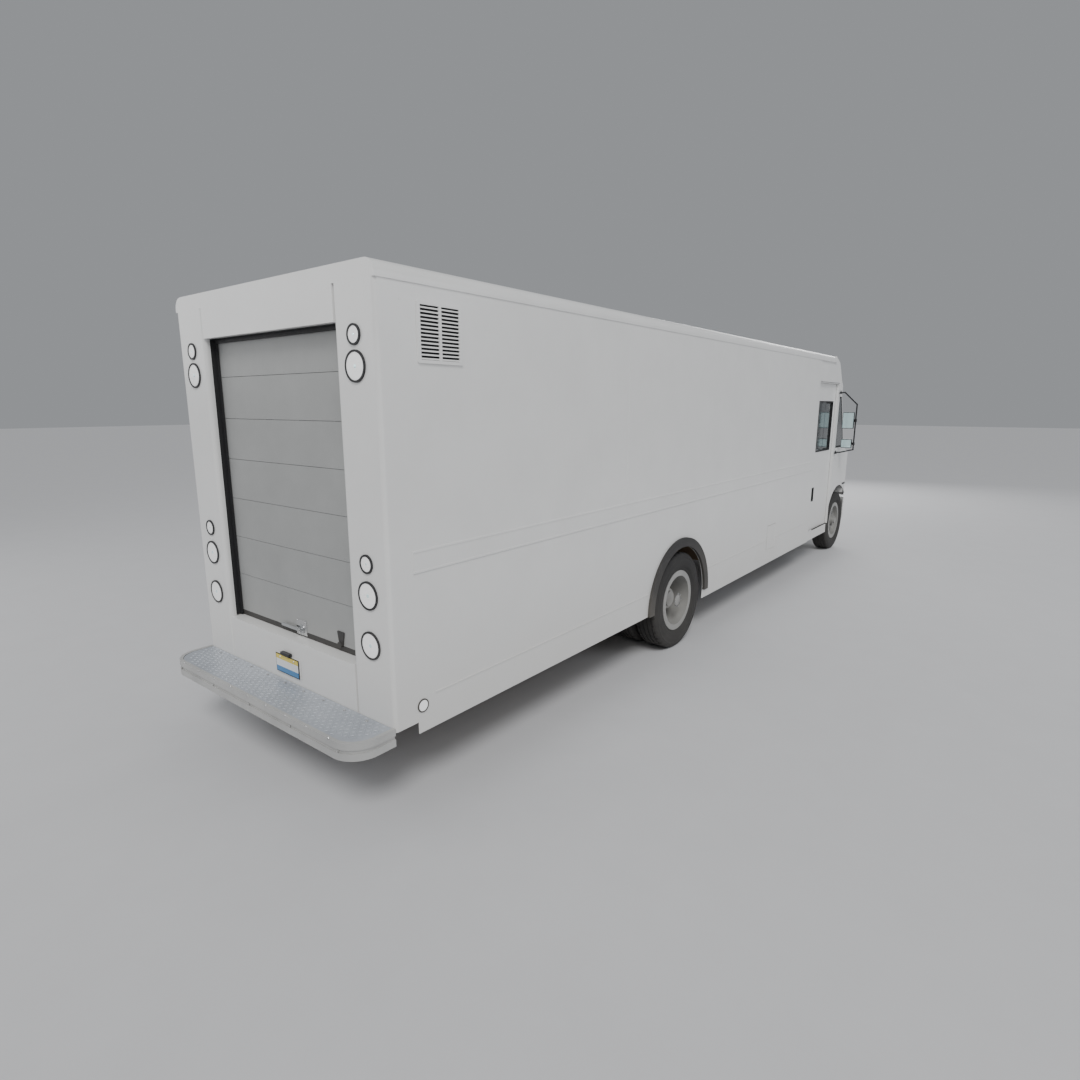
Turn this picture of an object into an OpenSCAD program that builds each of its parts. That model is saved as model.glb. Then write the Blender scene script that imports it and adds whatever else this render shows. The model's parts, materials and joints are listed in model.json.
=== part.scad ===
/* [Body] */
// Width of the body over its belt mouldings
body_w = 2400; // [2200:10:2600]
// Height of the roof above the ground
body_h = 3425; // [3200:5:3700]
// Length of the cargo body, rear face to cab seam
cargo_len = 8640; // [7600:20:10400]
// Length of the cab door bay, seam to windscreen pillar
cab_len = 1270; // [1250:10:1450]
// Length from windscreen pillar to the nose
nose_len = 1020; // [1000:10:1200]
// Height of the cargo floor's top
floor_z = 950; // [930:5:1000]
// Thickness of skin panels
skin = 5; // [3:1:8]
// Depth of the wall posts behind the skin
post_d = 34; // [24:1:40]
// Step of the cab sides behind the cargo sides
cab_inset = 14; // [10:1:30]

/* [Rear door] */
// Clear width of the rear doorway
door_w = 1612; // [1300:4:1700]
// Clear height of the rear doorway
door_h = 2142; // [1900:2:2200]
// Depth from the rear face to the door's outer face
door_recess = 95; // [90:1:110]
// Thickness of a door panel
panel_t = 30; // [24:1:34]
// Number of door panels
panel_n = 7; // [5:1:9]
// Height of the rubber seal below the lowest panel
seal_h = 40; // [25:1:55]
// Radius of the door's guide rollers
roller_r = 22; // [18:1:28]
// Clearance between a guide roller and its track
track_gap = 2; // [1:0.5:4]

/* [Wheels] */
// Outer radius of a tyre
tyre_r = 530; // [500:5:540]
// Width of a tyre
tyre_w = 275; // [240:5:280]
// Outer radius of a rim's flange
rim_r = 332; // [300:2:345]
// Gap between the two tyres of a dual pair
dual_gap = 50; // [40:5:60]
// Distance from the rear face to the rear axle
rear_overhang = 3940; // [3600:20:4200]
// Distance from the nose to the front axle
front_overhang = 550; // [520:10:600]
// Radius of a wheel stub and of the bore in its hub
stub_r = 40; // [32:1:46]
// Running clearance of shafts and pins
fit_gap = 0.05; // [0.02:0.01:0.1]
// Radius of the rear wheel arch in the skin
arch_r = 600; // [590:5:640]
// Width of the black flare round the rear arch
flare_w = 98; // [60:2:120]
// Radius of the front wheel arch
front_arch_r = 660; // [640:5:680]

/* [Frame] */
// Distance of the rails' outer faces from the centre
rail_x = 470; // [420:5:480]
// Height of a frame rail
rail_h = 200; // [160:5:220]
// Flange width of a frame rail
rail_w = 80; // [60:5:90]
// Thickness of a frame rail
rail_t = 8; // [6:1:12]
// Height of the cross sills between rail and floor
sill_h = 50; // [40:5:70]
// Radius of a towing eye's bore
eye_r = 24; // [16:1:28]

/* [Rear] */
// Distance the step bumper stands out behind the body
bumper_d = 330; // [250:5:400]
// Height of the step's tread above the ground
step_z = 630; // [600:5:650]
// Height of the step bumper's face
bumper_h = 115; // [90:5:120]
// Radius of the large rear lamps
lamp_r = 93; // [70:1:95]
// Radius of the small rear lamps
small_r = 61; // [40:1:70]
// Distance of the rear lamps from the centre
lamp_x = 996; // [980:2:1020]
// Width of the licence plate's screw pattern
plate_screw_w = 178; // [150:1:200]

/* [Cab] */
// Depth of the front bumper before the nose
front_bumper_d = 170; // [140:5:200]
// Radius of the steering wheel
steer_r = 220; // [200:5:240]
// Width of a cab doorway
cab_door_w = 1130; // [1000:10:1150]
// Height of a cab doorway
cab_door_h = 2420; // [2300:10:2440]

/* [Hidden] */
$fn = 64;
eps = 1;
seam = 1;
latch_x = -60;
latch_z = 1022;
hw = body_w / 2;
overall = bumper_d + cargo_len + cab_len + nose_len + front_bumper_d;
yr = overall / 2 - bumper_d;
yc = yr - cargo_len;
ya = yc - cab_len;
yn = ya - nose_len;
yf = -overall / 2;
y_rear = yr - rear_overhang;
y_front = yn + front_overhang;
axle_z = tyre_r;
rail_top = floor_z - 50 - sill_h;
rail_bot = rail_top - rail_h;
floor_t = 25;
skirt_rear_z = 518;
skirt_front_z = 414;
cant_z = body_h - 105;
skin_x = hw - 6;
wall_x = skin_x - skin - post_d;
cab_x = skin_x - cab_inset;
post_wrap = 195;
frame_d = 45;
door_x = door_w / 2;
sill_z = floor_z + 14;
head_open = sill_z + door_h;
y_door = yr - door_recess - panel_t / 2;
track_z = head_open + 108;
curtain_bot = sill_z + 2;
curtain_top = head_open + 30;
low_roller_z = sill_z + 47;
arm_a = (track_z - low_roller_z) / 2;
panel_h = (curtain_top - curtain_bot - seal_h) / panel_n;
curtain_x = door_x + 16;
roller_x0 = curtain_x + 8;
roller_x1 = roller_x0 + 26;
track_x0 = roller_x0 - 2;
track_x1 = roller_x1 + 4;
belt_z0 = 1598;
belt_z1 = 1741;
rocker_z = 764;
dual_x1 = hw - 2;
dual_x0 = dual_x1 - tyre_w;
inner_x1 = dual_x0 - dual_gap;
inner_x0 = inner_x1 - tyre_w;
dual_mid = (dual_x0 + inner_x1) / 2;
front_x1 = cab_x - 14;
front_x0 = front_x1 - tyre_w;
king_x = front_x0 - 65;
king_r = 20;
glass_top = [ya - 150, body_h - 635];
glass_bot = [ya - 570, 1870];
cowl_z = 1870;
nose_z = 1745;
nose_bot = 950;
roof_front = ya + 405;
door_y1 = yc - 45;
door_y0 = door_y1 - cab_door_w;
cab_sill = 560;
beam_top = 470;
tube_r = 62;
shaft_z = axle_z;
leaf_x1 = cab_x - 44;
leaf_t = 30;
leaf_x0 = leaf_x1 - leaf_t;
win_y1 = yc - 250;
win_y0 = win_y1 - 790;
win_z0 = 1880;
win_z1 = 2680;
fuel_y = yc + 1830;
fuel_z = 790;
fuel_w = 340;
fuel_h = 350;
vent_y1 = yr - 295;
vent_z0 = 2873;
vent_w = 370;
vent_h = 356;
hub_face = hw - 112;
stub_end = hub_face - 30;
bulk_y = yc + 30;
shelf_y1 = y_door - 2 * arm_a - 160;
shelf_y0 = yc + 1160;
seat_x = 560;
seat_y = ya + 880;
wheel_y = ya + 470;
wheel_z = 1720;
column_tilt = 30;
toe_y = y_front + front_arch_r + 40;
mirror_x = hw + 230;
mirror_y = ya - 190;
pivot_x = cab_x + 24;
pivot_y = ya + 40;
pane_a = glass_bot + [10, 25];
pane_b = glass_top + [-15, -25];
slope = atan2(pane_b[1] - pane_a[1], pane_b[0] - pane_a[0]);
hood_y = ya - 700;
hood_slope = (cowl_z - nose_z) / (nose_len - 570);
hood_z = cowl_z - 130 * hood_slope;
hood_half = 700;
hood_low = 1505;

// A box from its two corners
module box(a, b) {
    translate(a) cube(b - a);
}

// Cylinder along X, starting at p
module rod_x(p, r, l) {
    translate(p) rotate([0, 90, 0]) cylinder(r = r, h = l);
}

// Cylinder along Y, starting at p and running rearward
module rod_y(p, r, l) {
    translate(p) rotate([-90, 0, 0]) cylinder(r = r, h = l);
}

// Children and their mirror image on the right side
module both_sides() {
    children();
    mirror([1, 0, 0]) children();
}

// Child on the left (s = 1) or mirrored to the right (s = -1)
module on_side(s) {
    if (s > 0) children();
    else mirror([1, 0, 0]) children();
}

// A Y-Z outline given as 2D children, drawn from x0 to x1
module side_slab(x0, x1) {
    translate([x0, 0, 0]) rotate([90, 0, 90]) linear_extrude(height = x1 - x0) children();
}

// An X-Z outline given as 2D children, drawn from y0 to y1
module cross_slab(y0, y1) {
    translate([0, y1, 0]) rotate([90, 0, 0]) linear_extrude(height = y1 - y0) children();
}

// Square with its four corners rounded
module round_rect(a, b, r) {
    union() {
        translate([a[0] + r, a[1]]) square([b[0] - a[0] - 2 * r, b[1] - a[1]]);
        translate([a[0], a[1] + r]) square([b[0] - a[0], b[1] - a[1] - 2 * r]);
        for (x = [a[0] + r, b[0] - r], y = [a[1] + r, b[1] - r]) translate([x, y]) circle(r = r);
    }
}

// Frame rails and their crossmembers
module rail_section() {
    difference() {
        translate([rail_x - rail_w, rail_bot]) square([rail_w, rail_h]);
        translate([rail_x - rail_w - eps, rail_bot + rail_t])
            square([rail_w - rail_t + eps, rail_h - 2 * rail_t]);
    }
}

// Ladder frame with its cross members
module frame_rails() {
    inner = rail_x - rail_t;
    color("#2b2b2e") union() {
        both_sides() cross_slab(yn + 60, yr - frame_d - 8) rail_section();
        box([-inner, yn + 65, rail_bot + 10], [inner, yn + 135, rail_bot + 90]);
        for (y = [y_front + 1360, y_front + 2400, y_front + 3900, y_rear - 900,
                y_rear + 900, y_rear + 2200, yr - frame_d - 100])
            box([-inner, y - 35, rail_top - 120], [inner, y + 35, rail_top - 20]);
    }
}

// Front beam axle with an eye for each kingpin
module front_axle() {
    color("#2f2f33") difference() {
        union() {
            translate([0, y_front, 0]) cross_slab(-40, 40)
                polygon([[-king_x, 470], [-600, 470], [-540, 400], [540, 400], [600, 470],
                    [king_x, 470], [king_x, 545], [600, 545], [540, 470], [-540, 470],
                    [-600, 545], [-king_x, 545]]);
            for (s = [-1, 1])
                translate([s * king_x, y_front, 455]) cylinder(r = 44, h = 120);
        }
        for (s = [-1, 1])
            translate([s * king_x, y_front, 440]) cylinder(r = king_r + fit_gap, h = 160);
    }
}

// Rear axle: tube, differential and two stubs
module rear_axle() {
    color("#2f2f33") union() {
        rod_x([-(inner_x0 - 20), y_rear, axle_z], tube_r, 2 * (inner_x0 - 20));
        rod_y([0, y_rear - 110, axle_z], 185, 220);
        rod_y([0, y_rear + 109, axle_z], 150, 30);
        rod_y([0, y_rear - 235, axle_z], 70, 126);
        both_sides() rod_x([inner_x0 - 21, y_rear, axle_z], stub_r, stub_end - inner_x0 + 21);
    }
}

// One leaf pack: arcs with their ends up, the longest leaf on top
module leaf_pack(y0, z0, half, rise, top) {
    big = (half * half + rise * rise) / (2 * rise);
    leaf = 10;
    for (i = [0:3])
        side_slab(rail_x - 75, rail_x - 5) intersection() {
            difference() {
                translate([y0, z0 + big]) circle(r = big + leaf * i, $fn = 240);
                translate([y0, z0 + big]) circle(r = big + leaf * (i - 1), $fn = 240);
            }
            translate([y0 - half + i * 110, z0 - 5 * leaf]) square([2 * (half - i * 110), rise + 6 * leaf]);
        }
    for (y = [y0 - half, y0 + half - 30])
        box([rail_x - 75, y, z0 + rise - 4], [rail_x - 5, y + 30, top]);
}
// Four leaf spring packs
module leaf_springs() {
    color("#3a3a3d") both_sides() {
        leaf_pack(y_front, beam_top + 30, 480, 80, rail_bot);
        leaf_pack(y_rear, axle_z - tube_r - 10, 560, 100, rail_bot);
    }
}
// Engine block with head, cover, sump and pulley
module engine() {
    color("#4a4c50") union() {
        box([-230, yn + 290, 690], [230, yn + 1130, 960]);
        box([-150, yn + 310, 960], [150, yn + 1110, 1160]);
        box([-120, yn + 330, 1160], [120, yn + 1090, 1230]);
        box([-180, yn + 560, 590], [180, yn + 1110, 690]);
        rod_y([0, yn + 240, 760], 110, 50);
        rod_y([0, yn + 240, 1010], 70, 50);
        both_sides() box([230, yn + 640, 760], [rail_x - rail_t, yn + 740, 800]);
        box([150, yn + 420, 1000], [260, yn + 980, 1080]);
    }
}
// Gearbox behind the engine
module gearbox() {
    color("#6d7075") union() {
        rod_y([0, yn + 1130, shaft_z + 90], 210, 150);
        rod_y([0, yn + 1280, shaft_z + 60], 150, 420);
        rod_y([0, yn + 1700, shaft_z], 70, 110);
        box([-190, yn + 1420, shaft_z - 110], [190, yn + 1620, shaft_z + 10]);
    }
}
// Propeller shaft with a flange and joint yoke at each end
module driveshaft() {
    y0 = yn + 1812;
    y1 = y_rear - 237;
    color("#7c7f84") union() {
        rod_y([0, y0, shaft_z], 60, 14);
        rod_y([0, y0 + 14, shaft_z], 34, y1 - y0 - 28);
        rod_y([0, y0 + 110, shaft_z], 48, y1 - y0 - 220);
        rod_y([0, y1 - 14, shaft_z], 60, 14);
        for (y = [y0 + 60, y1 - 60]) rod_x([-56, y, shaft_z], 16, 112);
    }
}
// Radiator core between its side tanks, with header and shroud
module radiator() {
    color("#3b3d40") union() {
        box([-330, yn + 120, 780], [330, yn + 160, 1400]);
        both_sides() box([330, yn + 112, 760], [380, yn + 168, 1420]);
        box([-380, yn + 112, 1400], [380, yn + 168, 1440]);
        for (z = [800:40:1380]) box([-330, yn + 116, z], [330, yn + 164, z + 4]);
        difference() {
            rod_y([0, yn + 160, 1090], 300, 50);
            rod_y([0, yn + 161, 1090], 280, 60);
        }
    }
}
// Fuel tank with its straps and filler neck
module fuel_tank() {
    x0 = rail_x + 70;
    color("#54575b") union() {
        mirror([1, 0, 0]) {
            cross_slab(fuel_y - 250, fuel_y + 850) round_rect([x0, 470], [x0 + 480, 790], 70);
            for (y = [fuel_y - 60, fuel_y + 600])
                difference() {
                    cross_slab(y, y + 50) round_rect([x0 - 6, 464], [x0 + 486, 796], 72);
                    cross_slab(y - eps, y + 50 + eps) round_rect([x0, 470], [x0 + 480, 790], 70);
                }
            for (y = [fuel_y - 60, fuel_y + 600])
                box([rail_x, y, 700], [x0 + 10, y + 50, 760]);
            rod_x([x0 + 420, fuel_y, fuel_z - 60], 34, skin_x - 60 - x0 - 420);
            rod_x([skin_x - 62, fuel_y, fuel_z - 60], 46, 20);
        }
    }
}
// Silencer, pipes and side outlet on the left
module exhaust() {
    x = 700;
    z = 640;
    y0 = yn + 1900;
    y1 = y_rear - 1000;
    color("#6b6d70") union() {
        rod_y([x, y0 + 1000, z], 110, 900);
        rod_y([x, y0, z], 40, y1 - y0);
        translate([x, y1, z]) sphere(r = 48);
        rod_x([x, y1, z], 40, skin_x - 30 - x);
        for (y = [y0 + 1080, y0 + 1780]) box([rail_x, y, z - 10], [x - 60, y + 40, z + 20]);
    }
}
// Outline of the cargo side, ending at the arch
module cargo_side_outline(skirt) {
    difference() {
        union() {
            translate([yc, rocker_z]) square([yr - post_wrap - yc, cant_z - rocker_z]);
            translate([y_rear, skirt_rear_z]) square([yr - post_wrap - y_rear, rocker_z - skirt_rear_z]);
            translate([yc, skirt_front_z]) square([y_rear - yc, rocker_z - skirt_front_z]);
        }
        translate([y_rear, axle_z]) circle(r = arch_r, $fn = 128);
        if (skirt < 0)
            translate([fuel_y - fuel_w / 2, fuel_z - fuel_h / 2]) square([fuel_w, fuel_h]);
        translate([vent_y1 - vent_w + 20, vent_z0 + 20]) square([vent_w - 40, vent_h - 40]);
    }
}
// Side wall: skin, belt and rocker mouldings, posts and rub rails
module side_wall(s) {
    on_side(s) union() {
        side_slab(skin_x - skin, skin_x) cargo_side_outline(s);
        box([skin_x, yc, belt_z0], [hw, yr - post_wrap, belt_z0 + 12]);
        box([skin_x, yc, belt_z1 - 12], [hw, yr - post_wrap, belt_z1]);
        box([skin_x, yc, belt_z0 + 12], [hw - 3, yr - post_wrap, belt_z1 - 12]);
        box([skin_x, y_rear + arch_r + flare_w, rocker_z - 10], [hw - 1, yr - post_wrap - 150, rocker_z]);
        box([skin_x, yc + 20, rocker_z - 10],
            [hw - 1, s > 0 ? fuel_y : fuel_y - fuel_w / 2 - 10, rocker_z]);
        box([skin_x, s > 0 ? fuel_y - eps : fuel_y + fuel_w / 2 + 10, rocker_z - 10],
            [hw - 1, y_rear - arch_r - flare_w, rocker_z]);
        for (y = [yc + 1200:610:yr - 800])
            if (abs(y - y_rear) > arch_r + 60 && abs(y - fuel_y) > fuel_w)
                box([wall_x, y, floor_z + 5], [skin_x - skin, y + 50, cant_z]);
            else
                box([wall_x, y, 1240], [skin_x - skin, y + 50, cant_z]);
        for (z = [1280, 1560, 1850, 2160])
            box([wall_x + 10, yc + 1200, z], [skin_x - skin, yr - 790, z + 90]);
    }
}
// Left side of the cargo body
module side_wall_left() {
    color("#f1f1ef") side_wall(1);
}
// Right side of the cargo body
module side_wall_right() {
    color("#f1f1ef") side_wall(-1);
}
// Roof: skin with cant rails, bows and a rear cap
module roof_outline(grow) {
    difference() {
        translate([-hw + grow, cant_z]) square([2 * (hw - grow), body_h - cant_z - grow]);
        for (s = [-1, 1])
            translate([s * (hw - 85), body_h - 85]) difference() {
                translate([s > 0 ? 0 : -90, 0]) square([90, 90]);
                circle(r = 85 - grow);
            }
    }
}
// Cargo roof skin, edge flanges and hat bows
module roof() {
    color("#f1f1ef") union() {
        difference() {
            cross_slab(roof_front, yr) roof_outline(0);
            cross_slab(roof_front - eps, yr - frame_d) union() {
                roof_outline(skin);
                translate([-(hw - skin), cant_z - eps]) square([2 * (hw - skin), 5]);
            }
        }
        both_sides() box([skin_x - 60, roof_front, cant_z], [hw - skin + eps, yr - 40, cant_z + skin]);
        for (y = [roof_front + 300:610:yr - 400]) {
            box([-(hw - 60), y, body_h - 55], [hw - 60, y + 60, body_h - 50]);
            for (w = [y, y + 55]) box([-(hw - 60), w, body_h - 51], [hw - 60, w + 5, body_h - skin + eps]);
        }
    }
}

// Plan of one rear corner post with rounded outer and doorway edges
module post_plan() {
    r = 28;
    lip = 30;
    union() {
        difference() {
            translate([door_x, yr - frame_d]) square([hw - 6 - door_x, frame_d]);
            translate([hw - 6 - r, yr - r]) difference() {
                square([r + eps, r + eps]);
                circle(r = r);
            }
            translate([door_x - eps, yr - lip]) difference() {
                square([lip + eps, lip + eps]);
                translate([lip + eps, 0]) circle(r = lip);
            }
        }
        translate([skin_x - 8, yr - post_wrap]) square([8, post_wrap - r]);
    }
}
// Rear frame: corner posts, header, sill and lower panel
module rear_frame() {
    color("#f1f1ef") difference() {
        union() {
            both_sides() translate([0, 0, 600]) linear_extrude(height = cant_z - 600) post_plan();
            box([-door_x + seam, yr - frame_d, head_open], [door_x - seam, yr, cant_z]);
            box([-door_x + seam, yr - frame_d, 600], [door_x - seam, yr - 2, sill_z - 48 - seam]);
            box([-door_x + seam, yr - 140, sill_z - 48], [door_x - seam, yr, sill_z]);
            box([-150, yr - 2 - eps, 683], [150, yr + 4, 825]);
        }
        for (s = [-1, 1])
            for (l = rear_lamps())
                rod_y([s * lamp_x, yr - frame_d - eps, l[0]], l[1] - 12, frame_d + 2 * eps);
        for (s = [-1, 1])
            rod_y([s * plate_screw_w / 2, yr - frame_d - eps, 805], 3.5, frame_d + 10);
    }
}
// Height and radius of each lamp in one rear column
function rear_lamps() = [[3025, small_r], [2848, lamp_r], [1670, small_r], [1468, lamp_r],
    [1141, lamp_r]];
// Cargo floor: deck, cross sills and wheel boxes
module cargo_floor() {
    box_x0 = inner_x0 - 40;
    box_y = tyre_r + 70;
    y1 = yr - 142;
    color("#8b8f94") union() {
        difference() {
            union() {
                box([-wall_x, bulk_y + 32, floor_z - floor_t], [wall_x, y1, floor_z]);
                for (y = [bulk_y + 120:600:y1 - 100])
                    box([-wall_x, y, rail_top], [wall_x, y + 60, floor_z - floor_t + eps]);
            }
            both_sides() box([box_x0, y_rear - box_y, rail_top - eps],
                [hw, y_rear + box_y, floor_z + eps]);
            both_sides() box([leaf_x0 - 10, bulk_y, rail_top - eps], [hw, yc + 1110, floor_z + eps]);
        }
        both_sides() difference() {
            box([box_x0 + seam, y_rear - box_y + seam, rail_top + 10],
                [wall_x, y_rear + box_y - seam, 1190]);
            box([box_x0 + 6, y_rear - box_y + 6, rail_top], [hw, y_rear + box_y - 6, 1185]);
        }
    }
}
// Cab floor: deck, door steps, wheel housings and engine cover
module cab_floor() {
    x1 = leaf_x0 - 12;
    yw = toe_y;
    y0 = yn + 220;
    step_in = 790;
    color("#5b5e62") union() {
        difference() {
            box([-x1, y0, floor_z - 12], [x1, bulk_y - 2, floor_z]);
            box([-300, y0 - eps, floor_z - 20], [300, yn + 1160, floor_z + eps]);
            both_sides() box([step_in, yw, floor_z - 20], [hw, bulk_y - 80, floor_z + eps]);
            both_sides() box([490, y0 - eps, floor_z - 20], [hw, yw - 10, floor_z + eps]);
        }
        difference() {
            box([-310, y0, floor_z], [310, yn + 1170, 1320]);
            box([-300, y0 - eps, floor_z - eps], [300, yn + 1160, 1310]);
        }
        both_sides() {
            box([step_in - 5, yw, cab_sill - 30], [step_in, bulk_y - 80, floor_z]);
            box([step_in, yw, cab_sill - 30], [x1, bulk_y - 80, cab_sill - 20]);
            box([step_in - 1, yw, cab_sill - 30], [x1, yw + 5, floor_z]);
            box([step_in - 1, bulk_y - 85, cab_sill - 30], [x1, bulk_y - 80, floor_z]);
            box([485, y0, floor_z - 12], [490, yw, 1260]);
            box([485, y0, 1255], [x1, yw, 1260]);
            box([485, yw - 5, floor_z - 12], [x1, yw, 1260]);
            box([310, y0, floor_z], [486, y0 + 5, 1320]);
            box([rail_x - rail_w, yn + 1300, rail_top], [rail_x, bulk_y - 10, floor_z - 12]);
        }
    }
}
// Bulkhead between cab and cargo, with the walk-through opening
module bulkhead() {
    x1 = leaf_x0 - 10;
    color("#c9cbcc") union() {
        for (s = [-1, 1]) on_side(s) difference() {
            box([380, bulk_y, floor_z], [x1, bulk_y + 30, floor_z + 1980]);
            if (s > 0) box([560, bulk_y - eps, 1900], [900, bulk_y + 31, 2500]);
        }
        box([-x1, bulk_y, floor_z + 1980 + seam], [x1, bulk_y + 30, cant_z + 25]);
        box([560 + seam, bulk_y + 12, 1900 + seam], [900 - seam, bulk_y + 18, 2500 - seam]);
    }
}

// Sliding bulkhead door with its pull and hanger rollers
module bulkhead_door() {
    color("#b9bcbe") union() {
        box([-410, bulk_y + 34, floor_z + 12], [410, bulk_y + 60, floor_z + 2010]);
        box([-340, bulk_y + 60, floor_z + 980], [-316, bulk_y + 90, floor_z + 1160]);
        for (x = [-300, 300]) {
            box([x - 25, bulk_y + 60, floor_z + 1950], [x + 25, bulk_y + 66, floor_z + 2080]);
            rod_y([x, bulk_y + 48, floor_z + 2058], 22, 14);
        }
    }
}
// Mail shelves along both sides, each with a raised front lip
module shelves() {
    x0 = 746;
    x1 = wall_x - 58;
    color("#a9adb0") both_sides() union() {
        for (z = [1240, 1760, 2280]) {
            box([x0, shelf_y0, z], [x1, shelf_y1, z + 5]);
            box([x0, shelf_y0, z + 4], [x0 + 5, shelf_y1, z + 50]);
            box([x0, shelf_y0, z - 20], [x0 + 5, shelf_y1, z + 1]);
        }
        for (i = [0:4])
            for (x = [704, wall_x - 56]) {
                y = shelf_y0 + i * (shelf_y1 - shelf_y0 - 40) / 4;
                z = abs(y - y_rear) > tyre_r + 120 ? floor_z : 1190;
                box([x, y, z], [x + 41, y + 40, 2400]);
            }
    }
}

// Side outline of the cab: low and back reach further where it is open
function cab_outline(low, back) = [[yc + back, skirt_front_z - low], [y_front, skirt_front_z - low],
    [y_front, nose_bot - low], [yn, nose_bot - low], [yn, nose_z], glass_bot, glass_top,
    [ya - 160, body_h - 470], [ya - 75, body_h - 405], [ya + 155, body_h - 95],
    [roof_front, body_h], [roof_front, cant_z + low], [yc + back, cant_z + low]];

// Inward normal of the edge from a to b in a clockwise outline
function normal(a, b) = [b[1] - a[1], a[0] - b[0]] / norm(b - a);

// Outline moved inward by d, corner by corner
function inset(p, d) = [for (i = [0:len(p) - 1])
    let (a = p[(i + len(p) - 1) % len(p)], b = p[i], c = p[(i + 1) % len(p)],
        m = normal(a, b), n = normal(b, c), k = 1 + m * n) b + d * (m + n) / k];

// A thin quadrilateral beside the line a-b, from depth t0 to t1
function strip(a, b, t0, t1) = let (n = normal(a, b))
    [a + n * t0, b + n * t0, b + n * t1, a + n * t1];

// Cab volume from its side outline, with rounded front corners
module cab_solid(outline, half, back) {
    r = 110;
    intersection() {
        side_slab(-half, half) polygon(outline);
        translate([0, 0, 300]) linear_extrude(height = body_h) union() {
            translate([-half, yn + r + back]) square([2 * half, yc + 100 - yn - r - back]);
            translate([-half + r, yn + back]) square([2 * (half - r), r + eps]);
            for (s = [-1, 1]) translate([s * (half - r), yn + r + back]) circle(r = r);
        }
    }
}

// Side outline of the quarter glass
function quarter_glass() = [[ya - 10, 1890], [ya - 10, 2770], [ya - 125, 2770], [ya - 520, 1890]];

// Cab shell: sides, nose, cowl, windscreen frame and front cap
module cab_shell() {
    leaf_top = cab_sill + cab_door_h + 20;
    color("#f1f1ef") union() {
        difference() {
            cab_solid(cab_outline(0, 0), cab_x, 0);
            cab_solid(inset(cab_outline(60, 60), skin), cab_x - skin, skin);
            side_slab(-hw, hw) translate([y_front, axle_z]) circle(r = front_arch_r, $fn = 128);
            side_slab(-hw, hw) translate([door_y0, cab_sill]) square([cab_door_w, cab_door_h]);
            side_slab(-hw, hw) polygon(quarter_glass());
            side_slab(-(cab_x - 70), cab_x - 70) polygon(strip(pane_a, pane_b, -40, 40));
            box([-hood_half, yn - eps, hood_low], [hood_half, hood_y + 8, cowl_z]);
            box([-470, yn - eps, 1010], [470, yn + skin + eps, 1420]);
            for (s = [-1, 1])
                rod_y([s * 850, yn - eps, 1180], 88, skin + 2 * eps);
        }
        for (z = [1040:60:1380]) box([-471, yn + 1, z], [471, yn + 5, z + 26]);
        for (x = [-240, 0, 240]) box([x - 10, yn + 1, 1009], [x + 10, yn + 5, 1421]);
        both_sides() {
            box([leaf_x1 + 4, door_y0 - 18, cab_sill], [cab_x - skin + eps, door_y0, leaf_top + 5]);
            box([leaf_x1 + 4, door_y1, cab_sill], [cab_x - skin + eps, yc - 4, leaf_top + 5]);
            box([leaf_x0, door_y0 - 60, leaf_top + 4], [cab_x - skin + eps, yc, leaf_top + 24]);
            for (z = [1790, 2815]) {
                box([cab_x - eps, pivot_y - 22, z], [pivot_x + 20, pivot_y + 22, z + 10]);
                translate([pivot_x, pivot_y, z + 9]) cylinder(r = 8, h = 48);
            }
            box([rail_x - rail_w, yn + 8, rail_top + 2], [rail_x - 10, yn + 60, nose_bot + 80]);
        }
        difference() {
            box([-(cab_x - skin + eps), yn + 213, floor_z + 75], [cab_x - skin + eps, yn + 218, 1700]);
            box([-310, yn + 200, floor_z], [310, yn + 230, 1430]);
        }
    }
}

// Windscreen pane and the two quarter glasses
module windshield() {
    color("#20292c") union() {
        side_slab(-(cab_x - 70), cab_x - 70) polygon(strip(pane_a, pane_b, -8, 0));
        both_sides() side_slab(cab_x - skin, cab_x - 1) polygon(quarter_glass());
    }
}

// Dashboard, instrument pod and steering column
module dashboard() {
    color("#3c3f42") union() {
        box([-1080, ya - 420, 1460], [1080, ya - 60, 1840]);
        box([-1080, ya - 470, 1700], [1080, ya - 420, 1840]);
        box([seat_x - 240, ya - 60, 1560], [seat_x + 240, ya + 20, 1860]);
        box([-250, ya - 60, 1500], [250, ya - 30, 1800]);
        difference() {
            union() {
                translate([seat_x, wheel_y, wheel_z]) rotate([-column_tilt, 0, 0])
                    translate([0, 0, -480]) cylinder(r = 34, h = 420);
                box([seat_x - 30, ya - 62, 1500], [seat_x + 30, ya + 340, 1540]);
            }
            translate([seat_x, wheel_y, wheel_z]) rotate([-column_tilt, 0, 0])
                translate([0, 0, -470]) cylinder(r = 16 + fit_gap, h = 480);
        }
    }
}

// Steering wheel rim, spokes and hub
module steering_wheel() {
    color("#1d1d1f") translate([seat_x, wheel_y, wheel_z]) rotate([-column_tilt, 0, 0]) union() {
        rotate_extrude() translate([steer_r, 0]) circle(r = 14);
        translate([0, 0, -40]) cylinder(r = 55, h = 40);
        translate([0, 0, -400]) cylinder(r = 16, h = 361);
        for (a = [90, 210, 330]) rotate([0, 0, a]) translate([0, 0, -12]) rotate([0, 90, 0])
            cylinder(r = 9, h = steer_r - 4);
    }
}

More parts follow.
